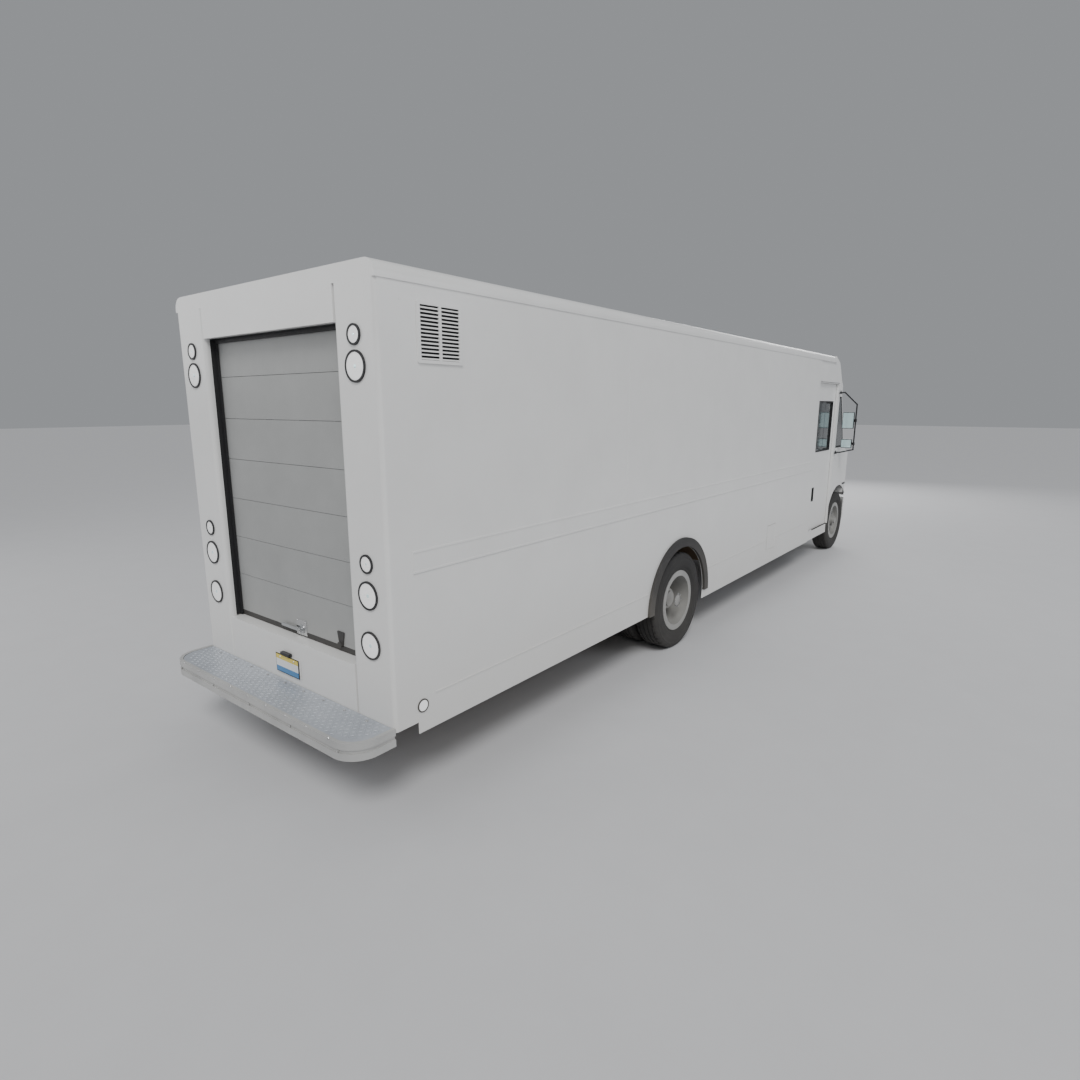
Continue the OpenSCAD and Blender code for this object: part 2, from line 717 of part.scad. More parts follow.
// Driver's seat on its slide, with cushion, back and head rest
module driver_seat() {
    y = seat_y;
    color("#3a3d42") union() {
        box([seat_x - 150, y - 200, 1182], [seat_x + 150, y + 170, 1300]);
        cross_slab(y - 245, y + 205) round_rect([seat_x - 225, 1302], [seat_x + 225, 1420], 40);
        translate([0, y + 150, 1424]) rotate([-8, 0, 0]) translate([0, -(y + 150), -1424])
            cross_slab(y + 60, y + 160) round_rect([seat_x - 215, 1424], [seat_x + 215, 1990], 40);
        for (x = [-215, 185]) box([seat_x + x, y + 171, 1240], [seat_x + x + 30, y + 200, 1301]);
    }
}

// Hanging brake pedal
module brake_pedal() {
    color("#26262a") union() {
        rod_x([seat_x - 60, toe_y + 46, 1200], 12, 50);
        box([seat_x - 45, toe_y + 40, 1030], [seat_x - 25, toe_y + 52, 1200]);
        box([seat_x - 80, toe_y + 52, 1020], [seat_x + 10, toe_y + 66, 1080]);
    }
}

// Hanging accelerator pedal
module accelerator_pedal() {
    color("#26262a") union() {
        rod_x([seat_x - 190, toe_y + 46, 1200], 12, 50);
        box([seat_x - 172, toe_y + 40, 1000], [seat_x - 158, toe_y + 52, 1200]);
        box([seat_x - 190, toe_y + 52, 990], [seat_x - 140, toe_y + 64, 1110]);
    }
}

// Front bumper with brackets and two towing eyes
module front_bumper() {
    color("#f1f1ef") difference() {
        union() {
            difference() {
                translate([0, 0, 500]) linear_extrude(height = 390)
                    round_rect([-1150, yf], [1150, yf + 400], 110);
                translate([0, 0, 499]) linear_extrude(height = 392)
                    round_rect([-1142, yf + 8], [1142, yf + 392], 102);
                box([-hw, yf + 150, 499], [hw, yf + 500, 900]);
            }
            both_sides() {
                box([rail_x - 70, yf + 7, 655], [rail_x - 20, yn + 60, 845]);
                box([rail_x - 82, yn + 50, 655], [rail_x - 8.2, yn + 59.8, 845]);
                box([418, yf + 7, 410], [442, yf + 130, 660]);
            }
        }
        both_sides() rod_x([410, yf + 70, 460], eye_r, 40);
    }
}

// Plan of the step with rounded outer corners, moved in by d
module step_plan(d) {
    difference() {
        round_rect([-hw + 4 + d, yr - 400], [hw - 4 - d, yr + bumper_d - d], 190 - d);
        translate([-hw, yr - 500]) square([2 * hw, 500]);
    }
}

// Rear step bumper: two-ridge face, brackets and screws
module rear_bumper() {
    z0 = step_z - bumper_h;
    color("#9a9c9a") union() {
        difference() {
            translate([0, 0, z0]) linear_extrude(height = bumper_h + 4) step_plan(0);
            translate([0, 0, z0 - eps]) linear_extrude(height = bumper_h + 8) step_plan(26);
            translate([0, 0, z0 + bumper_h * 0.42]) linear_extrude(height = bumper_h * 0.2)
                difference() {
                    step_plan(-20);
                    step_plan(10);
                }
        }
        for (x = [-1040, -520, 0, 520, 1040])
            rod_y([x, yr + bumper_d - 14, step_z - bumper_h / 2], 9, 12);
        both_sides() {
            box([400, yr - 260, z0 + 45], [460, yr + bumper_d - 25, 598]);
            box([400, yr + 6, 597], [460, yr + bumper_d - 25, step_z - 10]);
            box([400, yr - 260, 597], [460, yr - 90, rail_bot]);
        }
    }
}

// Tread plate on the rear step
module tread_plate() {
    color("#8d9197") translate([0, 0, step_z - 8]) linear_extrude(height = 8) difference() {
        step_plan(29);
        translate([-hw, yr - 10]) square([2 * hw, 13]);
    }
}

// Black flares round the rear arches
module wheel_flares() {
    color("#343436") both_sides() side_slab(skin_x, skin_x + 28) intersection() {
        difference() {
            translate([y_rear, axle_z]) circle(r = arch_r + flare_w, $fn = 128);
            translate([y_rear, axle_z]) circle(r = arch_r, $fn = 128);
        }
        translate([y_rear - 1000, skirt_rear_z]) square([2000, 1500]);
    }
}

// Louvred vents high on both sides near the rear
module side_vents() {
    y0 = vent_y1 - vent_w;
    n = 14;
    pitch = (vent_h - 40) / n;
    color("#f1f1ef") both_sides() union() {
        side_slab(skin_x, hw + 4) difference() {
            round_rect([y0, vent_z0], [vent_y1, vent_z0 + vent_h], 8);
            translate([y0 + 24, vent_z0 + 20]) square([vent_w / 2 - 34, vent_h - 40]);
            translate([y0 + vent_w / 2 + 10, vent_z0 + 20]) square([vent_w / 2 - 34, vent_h - 40]);
        }
        for (i = [0:n - 1])
            translate([0, 0, vent_z0 + 20 + i * pitch]) side_louvre(y0 + 20, vent_y1 - 20, pitch);
    }
}

// One louvred vent with its rim
module side_louvre(y0, y1, pitch) {
    translate([0, y1, 0]) rotate([90, 0, 0]) linear_extrude(height = y1 - y0)
        polygon([[skin_x + 1, pitch * 0.55], [skin_x + 2.5, pitch * 0.55], [hw + 2.5, pitch * 0.1],
            [hw + 1, pitch * 0.1]]);
}

// Rings round every lamp, with the slot lamps on the nose sides
module lamp_bezels() {
    color("#2c2c2e") union() {
        for (s = [-1, 1], l = rear_lamps()) difference() {
            rod_y([s * lamp_x, yr, l[0]], l[1], 10);
            rod_y([s * lamp_x, yr - eps, l[0]], l[1] - 13, 12);
        }
        both_sides() difference() {
            rod_x([skin_x, yr - 234, 705], 46, 6);
            rod_x([skin_x - eps, yr - 234, 705], 37, 8);
        }
        both_sides() difference() {
            rod_y([850, yn - 14, 1180], 104, 14);
            rod_y([850, yn - 15, 1180], 90, 16);
        }
        both_sides() box([cab_x, yn + 130, 1180], [cab_x + 5, yn + 320, 1210]);
    }
}

// Lenses of every lamp
module lamp_lenses() {
    color("#fbfbfb") union() {
        for (s = [-1, 1], l = rear_lamps()) {
            rod_y([s * lamp_x, yr, l[0]], l[1] - 13, 7);
            rod_y([s * lamp_x, yr - 40, l[0]], l[1] - 13.4, 41);
        }
        both_sides() rod_x([skin_x, yr - 234, 705], 37, 5);
        both_sides() {
            rod_y([850, yn - 20, 1180], 90, 20);
            rod_y([850, yn - eps, 1180], 88, 60);
        }
    }
}

// Channel of a door track along z (or along y when laid), open towards the doorway
module track(a, b, r) {
    difference() {
        side_slab(track_x0, track_x1 + 3) translate(a - [r + 3, r + 3])
            square(b - a + 2 * [r + 3, r + 3]);
        side_slab(track_x0 - eps, track_x1) translate(a - [r, r + 10]) square(b - a + [2 * r, 2 * r + 20]);
    }
}

// Door tracks with their brackets and the sheave pins
module door_tracks() {
    r = roller_r + track_gap;
    low = sill_z + 2 + r + 3;
    end = y_door - 2 * arm_a - 60;
    color("#7f8285") both_sides() union() {
        track([y_door, low], [y_door, track_z - 2 * r - 8], r);
        for (z = [1150, 1800, 2450, 3000])
            box([track_x1, y_door + r, z], [track_x1 + 6, yr - frame_d, z + 40]);
        difference() {
            side_slab(track_x0, track_x1 + 3) translate([end, track_z - r - 3])
                square([y_door + r + 3 - end, 2 * r + 6]);
            side_slab(track_x0 - eps, track_x1) union() {
                translate([end - eps, track_z - r]) square([y_door + r - end + eps, 2 * r]);
                translate([y_door - r, track_z - r - 4]) square([2 * r, r]);
            }
        }
        for (y = [y_door - 400, y_door - 1200, y_door - 2000])
            box([track_x1, y, track_z + r], [track_x1 + 6, y + 40, body_h - 55]);
        rod_x([track_x1 + 2, y_door, track_z], 10, 30);
        rod_x([track_x1 + 30, y_door, track_z], 16, 5);
    }
}

// Door panels, each a separate slab above the seal
module rear_door_panels() {
    z0 = curtain_bot + seal_h;
    color("#c4c4c4") for (i = [0:panel_n - 1])
        box([-curtain_x, y_door - panel_t / 2, z0 + i * panel_h + 1.5],
            [curtain_x, y_door + panel_t / 2, z0 + (i + 1) * panel_h - 1.5]);
}

// Rubber seal, hinges, roller brackets, rollers and the pull strap
module rear_door_hardware() {
    yi = y_door - panel_t / 2;
    yo = y_door + panel_t / 2;
    z0 = curtain_bot + seal_h;
    color("#1e1e20") union() {
        box([-curtain_x, y_door - panel_t / 2, curtain_bot], [curtain_x, yo, z0]);
        for (i = [1:panel_n - 1], x = [-620, -210, 210, 620]) {
            box([x - 40, yi - 4, z0 + i * panel_h - 45], [x + 40, yi, z0 + i * panel_h + 45]);
            rod_x([x - 40, yi - 7, z0 + i * panel_h], 7, 80);
        }
        both_sides() {
            box([curtain_x, y_door - 12, curtain_top - 160], [curtain_x + 6, y_door + 12, track_z + 12]);
            box([curtain_x, y_door - 12, low_roller_z - 14], [curtain_x + 6, y_door + 12, low_roller_z + 160]);
            for (z = [low_roller_z, track_z]) {
                rod_x([curtain_x + 1, y_door, z], 7, roller_x1 - curtain_x - 1);
                rod_x([roller_x0, y_door, z], roller_r, roller_x1 - roller_x0);
            }
        }
        translate([-545, yo, 0]) cross_slab(0, 9)
            polygon([[-36, 1108], [36, 1108], [36, 1094], [21, 1014], [-21, 1014], [-36, 1094]]);
        translate([-545, yo, 0]) cross_slab(0, 24) translate([0, 1018]) circle(r = 21);
    }
}

// Cable sheaves beside the track corners
module rear_door_sheaves() {
    color("#9b9d9f") both_sides() difference() {
        union() {
            rod_x([track_x1 + 6, y_door, track_z], 62, 5);
            rod_x([track_x1 + 10, y_door, track_z], 54, 10);
            rod_x([track_x1 + 19, y_door, track_z], 62, 5);
        }
        rod_x([track_x1, y_door, track_z], 10 + fit_gap, 40);
    }
}

// Turn handle of the rear door lock
module rear_latch() {
    yo = y_door + panel_t / 2;
    color("#8f9193") union() {
        rod_y([latch_x, yo, latch_z], 34, 8);
        rod_y([latch_x, yo + 8, latch_z], 14, 14);
        box([latch_x - 14, yo + 18, latch_z - 12], [latch_x + 230, yo + 28, latch_z + 12]);
    }
}

// Sliding cab door: leaf, rear fixed glass and its pull
module cab_door(s) {
    top = cab_sill + cab_door_h + 20;
    mid = (win_y0 + win_y1) / 2;
    on_side(s) union() {
        difference() {
            box([leaf_x0, door_y0 - 24, cab_sill - 5], [leaf_x1, door_y1 + 24, top]);
            side_slab(leaf_x0 - eps, leaf_x1 + eps)
                round_rect([win_y0, win_z0], [win_y1, win_z1], 30);
            box([leaf_x1 - 16, door_y1 - 270, 1060], [leaf_x1 + eps, door_y1 - 150, 1270]);
        }
        side_slab(leaf_x1 - 12, leaf_x1 - 7) translate([mid - 12, win_z0 - 5])
            square([win_y1 - mid + 20, win_z1 - win_z0 + 10]);
        side_slab(leaf_x1 - 14, leaf_x1 - 5) translate([mid - 14, win_z0 - 5])
            square([26, win_z1 - win_z0 + 10]);
        box([leaf_x1 - 16.5, door_y1 - 225, 1080], [leaf_x1 - 2, door_y1 - 200, 1250]);
    }
}

// Left sliding cab door
module cab_door_left() {
    color("#f1f1ef") cab_door(1);
}

// Right sliding cab door
module cab_door_right() {
    color("#f1f1ef") cab_door(-1);
}

// Sliding front sash of the door window
module sash(s) {
    mid = (win_y0 + win_y1) / 2;
    on_side(s) union() {
        side_slab(leaf_x0 + 3, leaf_x0 + 14) difference() {
            round_rect([win_y0 + 1, win_z0 + 1], [mid + 14, win_z1 - 1], 32);
            translate([win_y0 + 27, win_z0 + 27]) square([mid - win_y0 - 39, win_z1 - win_z0 - 54]);
        }
        box([leaf_x0 + 6, win_y0 + 26, win_z0 + 26], [leaf_x0 + 11, mid - 11, win_z1 - 26]);
    }
}

// Left cab door window
module window_left() {
    color("#2a3336") sash(1);
}

// Right cab door window
module window_right() {
    color("#2a3336") sash(-1);
}

// Hood: top panel that folds down over the nose, hinged at the cowl
module hood() {
    color("#f1f1ef") union() {
        side_slab(-hood_half + 4, hood_half - 4) union() {
            polygon([[hood_y, hood_z - skin], [hood_y, hood_z], [yn, nose_z], [yn, nose_z - 20],
                [yn + skin, nose_z - skin - 10]]);
            translate([yn, hood_low + 4]) square([skin, nose_z - 12 - hood_low - 4]);
        }
        rod_x([-hood_half + 20, hood_y, hood_z - skin / 2], 6, 2 * hood_half - 40);
    }
}

// Fuel filler door
module fuel_door() {
    ax = fuel_y - fuel_w / 2 + 6.5;
    color("#f1f1ef") mirror([1, 0, 0]) union() {
        box([skin_x - 1, ax, fuel_z - fuel_h / 2 + 4],
            [skin_x + 3, fuel_y + fuel_w / 2 - 4, fuel_z + fuel_h / 2 - 4]);
        translate([skin_x + 1, ax, fuel_z - fuel_h / 2 + 4]) cylinder(r = 5, h = fuel_h - 8);
        box([skin_x + 2, fuel_y + fuel_w / 2 - 40, fuel_z - 25],
            [skin_x + 6, fuel_y + fuel_w / 2 - 25, fuel_z + 25]);
    }
}

// Wiper, parked pointing to the right, on a pivot square to the glass
module wiper(x) {
    translate([x, glass_bot[0] + 4, glass_bot[1] + 10]) rotate([slope, 0, 0]) union() {
        translate([0, 0, 5]) cylinder(r = 14, h = 26);
        box([-420, -7, 22], [0, 7, 30]);
        box([-640, 16, 12], [-120, 24, 22]);
        box([-430, -5, 22], [-390, 24, 30]);
    }
}

// Left wiper
module wiper_left() {
    color("#1b1b1d") wiper(860);
}

// Right wiper
module wiper_right() {
    color("#1b1b1d") wiper(-60);
}

// Round bar between two points, with a slightly larger ball at b
module bar(a, b, r) {
    d = b - a;
    l = norm(d);
    translate(a) rotate([0, acos(d[2] / l), atan2(d[1], d[0])]) cylinder(r = r, h = l);
    translate(b) sphere(r = r + 1.5);
}

// Mirror arm: a tube loop from two eyes on the screen pillar
module mirror_arm(s) {
    r = 12;
    top = 2841;
    low = 1816;
    on_side(s) difference() {
        union() {
            bar([pivot_x + 10, pivot_y, top], [pivot_x + 60, pivot_y - 40, top], r);
            bar([pivot_x + 60, pivot_y - 40, top], [mirror_x, mirror_y, 2640], r);
            bar([mirror_x, mirror_y, 2640], [mirror_x, mirror_y, 1860], r);
            bar([mirror_x, mirror_y, 1860], [pivot_x + 60, pivot_y - 40, low], r);
            bar([pivot_x + 60, pivot_y - 40, low], [pivot_x + 10, pivot_y, low], r);
            for (z = [top - 10, low - 10]) translate([pivot_x, pivot_y, z]) cylinder(r = 18, h = 22);
        }
        for (z = [top - 20, low - 20])
            translate([pivot_x, pivot_y, z]) cylinder(r = 8 + fit_gap, h = 50);
    }
}

// Left mirror arm
module mirror_arm_left() {
    color("#1b1b1d") mirror_arm(1);
}

// Right mirror arm
module mirror_arm_right() {
    color("#1b1b1d") mirror_arm(-1);
}

// Flat upper and wide-angle lower mirror, clamped on the arm's tube
module mirror_head(s) {
    c = mirror_x - 112;
    on_side(s) difference() {
        union() {
            for (m = [[2225, 280, 92], [1890, 150, 86]]) {
                translate([0, 0, m[0]]) linear_extrude(height = m[1])
                    round_rect([c - m[2], mirror_y - 4], [c + m[2], mirror_y + 50], 14);
                translate([mirror_x, mirror_y, m[0] + m[1] / 2 - 25]) cylinder(r = 20, h = 50);
                box([c + m[2] - 10, mirror_y - 4, m[0] + m[1] / 2 - 20],
                    [mirror_x, mirror_y + 12, m[0] + m[1] / 2 + 20]);
            }
        }
        translate([mirror_x, mirror_y, 1880]) cylinder(r = 12 + fit_gap, h = 660);
    }
}

// Left mirror head
module mirror_head_left() {
    color("#1b1b1d") mirror_head(1);
}

// Right mirror head
module mirror_head_right() {
    color("#1b1b1d") mirror_head(-1);
}

// Steering knuckle: kingpin, two ears and the wheel spindle
module knuckle(s) {
    on_side(s) union() {
        translate([king_x, y_front, 420]) cylinder(r = king_r, h = 190);
        for (z = [415, 580.5]) translate([king_x, y_front, z]) cylinder(r = 42, h = 34);
        for (z = [415, 580.5]) box([king_x, y_front - 40, z], [king_x + 95, y_front + 40, z + 34]);
        box([king_x + 62, y_front - 60, 415], [king_x + 96, y_front + 60, 614.5]);
        rod_x([king_x + 95, y_front, axle_z], stub_r, 150);
    }
}

// Left steering knuckle
module knuckle_left() {
    color("#33343a") knuckle(1);
}

// Right steering knuckle
module knuckle_right() {
    color("#33343a") knuckle(-1);
}

// Tyre carcass from its bead to the tread, centred on x
module tyre(x, y) {
    b = 286;
    f = rim_r;
    t = tyre_r;
    w = tyre_w / 2;
    outer = [[b, -100], [f, -104], [f + 40, 9 - w], [f + 100, -w], [t - 40, 7 - w], [t - 9, 18 - w],
        [t, 36 - w]];
    inner = [[b, -84], [f + 8, -90], [f + 100, 20 - w], [t - 32, 34 - w]];
    translate([x, y, axle_z]) rotate([0, 90, 0]) rotate_extrude($fn = 96) polygon(concat(
        outer, [for (i = [len(outer) - 1:-1:0]) [outer[i][0], -outer[i][1]]],
        [for (p = inner) [p[0], -p[1]]], [for (i = [len(inner) - 1:-1:0]) inner[i]]));
}

// Left front tyre
module tyre_front_left() {
    color("#232325") tyre((front_x0 + front_x1) / 2, y_front);
}

// Right front tyre
module tyre_front_right() {
    color("#232325") tyre(-(front_x0 + front_x1) / 2, y_front);
}

// Left pair of rear tyres
module tyres_rear_left() {
    color("#232325") for (x = [dual_x0, inner_x0]) tyre(x + tyre_w / 2, y_rear);
}

// Right pair of rear tyres
module tyres_rear_right() {
    color("#232325") for (x = [dual_x0, inner_x0]) tyre(-(x + tyre_w / 2), y_rear);
}

// Rim barrel with flanges outside the beads, from x0 to x1
module barrel(x0, x1, y, lo, hi) {
    b = 286;
    translate([0, y, axle_z]) rotate([0, 90, 0]) rotate_extrude($fn = 96) polygon([[b - 14, x0],
        [b - 14, x1], [hi > 0 ? rim_r : b, x1], [hi > 0 ? rim_r : b, x1 - 10], [b, x1 - 10],
        [b, x0 + 10], [lo > 0 ? rim_r : b, x0 + 10], [lo > 0 ? rim_r : b, x0]]);
}

// Front wheel: barrel, disc, hub with studs, brake drum
module rim_front(s) {
    xc = (front_x0 + front_x1) / 2;
    on_side(s) difference() {
        union() {
            barrel(xc - 116, xc + 116, y_front, 1, 1);
            rod_x([xc + 40, y_front, axle_z], 273, 12);
            rod_x([king_x + 110, y_front, axle_z], 78, xc + 120 - king_x - 110);
            rod_x([xc + 100, y_front, axle_z], 55, 46);
            rod_x([king_x + 130, y_front, axle_z], 200, 60);
            for (a = [0:36:359])
                translate([0, y_front, axle_z]) rotate([a, 0, 0]) rod_x([xc + 50, 0, 140], 14, 34);
        }
        rod_x([king_x + 100, y_front, axle_z], stub_r + fit_gap, 150);
        for (a = [18:36:359])
            translate([0, y_front, axle_z]) rotate([a, 0, 0]) rod_x([xc + 30, 0, 205], 26, 30);
    }
}

// Left front wheel rim
module rim_front_left() {
    color("#77797b") rim_front(1);
}

// Right front wheel rim
module rim_front_right() {
    color("#77797b") rim_front(-1);
}

// Rear pair of wheels bolted back to back on one hub
module rims_rear(s) {
    xo = dual_x0 + tyre_w / 2;
    xi = inner_x0 + tyre_w / 2;
    on_side(s) difference() {
        union() {
            barrel(dual_mid, xo + 116, y_rear, 0, 1);
            barrel(xi - 116, dual_mid, y_rear, 1, 0);
            rod_x([dual_mid - 12, y_rear, axle_z], 273, 24);
            rod_x([inner_x0 + 60, y_rear, axle_z], 205, 110);
            rod_x([inner_x0 + 20, y_rear, axle_z], 108, dual_mid + 60 - inner_x0 - 20);
            rod_x([dual_mid, y_rear, axle_z], 86, hub_face - dual_mid);
            rod_x([dual_mid, y_rear, axle_z], 112, hub_face - 24 - dual_mid);
            for (a = [0:36:359])
                translate([0, y_rear, axle_z]) rotate([a, 0, 0]) rod_x([dual_mid + 10, 0, 150], 15, 40);
            barrel(xo - 116, xo - 106, y_rear, 0, 1);
            barrel(xi + 106, xi + 116, y_rear, 0, 1);
        }
        rod_x([inner_x0, y_rear, axle_z], stub_r + fit_gap, stub_end + 1 - inner_x0);
    }
}

// Left pair of rear rims
module rims_rear_left() {
    color("#77797b") rims_rear(1);
}

// Right pair of rear rims
module rims_rear_right() {
    color("#77797b") rims_rear(-1);
}

frame_rails();
front_axle();
rear_axle();
leaf_springs();
engine();
gearbox();
driveshaft();
radiator();
fuel_tank();
exhaust();
cargo_floor();
cab_floor();
side_wall_left();
side_wall_right();
roof();
rear_frame();
bulkhead();
bulkhead_door();
shelves();
cab_shell();
windshield();
dashboard();
driver_seat();
front_bumper();
rear_bumper();
tread_plate();
wheel_flares();
side_vents();
lamp_bezels();
lamp_lenses();
door_tracks();
rear_door_panels();
rear_door_hardware();
rear_door_sheaves();
rear_latch();
cab_door_left();
cab_door_right();
window_left();
window_right();
steering_wheel();
brake_pedal();
accelerator_pedal();
hood();
fuel_door();
wiper_left();
wiper_right();
mirror_arm_left();
mirror_arm_right();
mirror_head_left();
mirror_head_right();
knuckle_left();
knuckle_right();
tyre_front_left();
tyre_front_right();
rim_front_left();
rim_front_right();
tyres_rear_left();
tyres_rear_right();
rims_rear_left();
rims_rear_right();
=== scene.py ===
import bpy, bmesh, json, math
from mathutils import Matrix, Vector


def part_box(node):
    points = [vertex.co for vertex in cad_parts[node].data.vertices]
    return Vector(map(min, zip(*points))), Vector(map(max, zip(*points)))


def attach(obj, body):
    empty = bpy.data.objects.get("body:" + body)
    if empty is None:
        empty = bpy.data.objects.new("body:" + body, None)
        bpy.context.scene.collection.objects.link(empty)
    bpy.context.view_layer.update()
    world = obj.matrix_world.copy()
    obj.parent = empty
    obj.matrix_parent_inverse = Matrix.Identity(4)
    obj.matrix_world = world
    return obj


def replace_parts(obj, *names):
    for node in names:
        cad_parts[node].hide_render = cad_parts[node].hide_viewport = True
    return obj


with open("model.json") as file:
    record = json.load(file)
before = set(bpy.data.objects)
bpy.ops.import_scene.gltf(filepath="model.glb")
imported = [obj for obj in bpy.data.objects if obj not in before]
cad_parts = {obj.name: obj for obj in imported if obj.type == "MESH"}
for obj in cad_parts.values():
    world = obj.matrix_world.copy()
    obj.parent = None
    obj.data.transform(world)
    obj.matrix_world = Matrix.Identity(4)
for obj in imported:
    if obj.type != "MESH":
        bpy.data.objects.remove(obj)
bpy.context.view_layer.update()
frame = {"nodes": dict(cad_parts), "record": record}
NODES = frame["nodes"]
SIDES = (("left", 1), ("right", -1))


# ---------- materials ----------
ROAD_DUST = (0.42, 0.38, 0.32)
TYRE_DUST = (0.16, 0.145, 0.125)
DUST_TOP, DUST_FULL = 1.45, 0.35        # heights between which road dirt builds up


def rgba(c):
    return (c[0], c[1], c[2], 1.0)


def add_node(tree, kind, inputs=None, **props):
    """A shader node with its properties and input values set."""
    node = tree.nodes.new("ShaderNode" + kind)
    for key, value in props.items():
        setattr(node, key, value)
    for key, value in (inputs or {}).items():
        node.inputs[key].default_value = value
    return node


def material(name, base, rough=0.5, metal=0.0, coat=0.0, dirt=0.0, low=0.0, bump=0.0,
             scale=60.0, glass=False, dust=ROAD_DUST, glow=0.0):
    """Principled surface with mottled colour, uneven roughness, low dirt and fine bump."""
    mat = bpy.data.materials.new(name)
    mat.use_nodes = True
    tree = mat.node_tree
    link = tree.links.new
    shader = tree.nodes["Principled BSDF"]
    coord = add_node(tree, "TexCoord")
    broad = add_node(tree, "TexNoise", {"Scale": 2.3, "Detail": 9.0, "Roughness": 0.62})
    fine = add_node(tree, "TexNoise", {"Scale": scale, "Detail": 6.0})
    for noise in (broad, fine):
        link(coord.outputs["Object"], noise.inputs["Vector"])
    mottle = add_node(tree, "MapRange", {"From Min": 0.3, "From Max": 0.7,
                                         "To Min": 1.0 - dirt, "To Max": 1.0})
    link(broad.outputs["Fac"], mottle.inputs["Value"])
    tint = add_node(tree, "Mix", data_type="RGBA", blend_type="MULTIPLY")
    tint.inputs["Factor"].default_value = 1.0
    tint.inputs["A"].default_value = rgba(base)
    link(mottle.outputs["Result"], tint.inputs["B"])
    colour = tint.outputs["Result"]
    if low > 0:
        xyz = add_node(tree, "SeparateXYZ")
        link(coord.outputs["Object"], xyz.inputs["Vector"])
        height = add_node(tree, "MapRange", {"From Min": DUST_TOP, "From Max": DUST_FULL,
                                             "To Max": low}, interpolation_type="SMOOTHSTEP")
        link(xyz.outputs["Z"], height.inputs["Value"])
        amount = add_node(tree, "Math", operation="MULTIPLY")
        link(height.outputs["Result"], amount.inputs[0])
        link(broad.outputs["Fac"], amount.inputs[1])
        dusty = add_node(tree, "Mix", data_type="RGBA")
        link(amount.outputs["Value"], dusty.inputs["Factor"])
        link(colour, dusty.inputs["A"])
        dusty.inputs["B"].default_value = rgba(dust)
        colour = dusty.outputs["Result"]
    link(colour, shader.inputs["Base Color"])
    uneven = add_node(tree, "MapRange", {"From Min": 0.25, "From Max": 0.75,
                                         "To Min": max(0.02, rough - 0.08),
                                         "To Max": min(1.0, rough + 0.10)})
    link(fine.outputs["Fac"], uneven.inputs["Value"])
    link(uneven.outputs["Result"], shader.inputs["Roughness"])
    shader.inputs["Metallic"].default_value = metal
    shader.inputs["Coat Weight"].default_value = coat
    shader.inputs["Coat Roughness"].default_value = 0.12
    if bump > 0:
        grain = add_node(tree, "Bump", {"Strength": bump, "Distance": 0.001})
        link(fine.outputs["Fac"], grain.inputs["Height"])
        link(grain.outputs["Normal"], shader.inputs["Normal"])
    if glass:
        shader.inputs["Transmission Weight"].default_value = 0.55
        shader.inputs["IOR"].default_value = 1.45
    if glow > 0:
        shader.inputs["Emission Color"].default_value = rgba(base)
        shader.inputs["Emission Strength"].default_value = glow
    return mat


def ribbed(source, name, pitch, depth):
    """A copy of a material with upright lens ribs in its bump."""
    mat = source.copy()
    mat.name = name
    tree = mat.node_tree
    coord = add_node(tree, "TexCoord")
    wave = add_node(tree, "TexWave", {"Scale": 0.314 / pitch}, wave_type="BANDS",
                    bands_direction="X")
    bump = add_node(tree, "Bump", {"Strength": depth, "Distance": 0.002})
    tree.links.new(coord.outputs["Object"], wave.inputs["Vector"])
    tree.links.new(wave.outputs["Fac"], bump.inputs["Height"])
    tree.links.new(bump.outputs["Normal"], tree.nodes["Principled BSDF"].inputs["Normal"])
    return mat


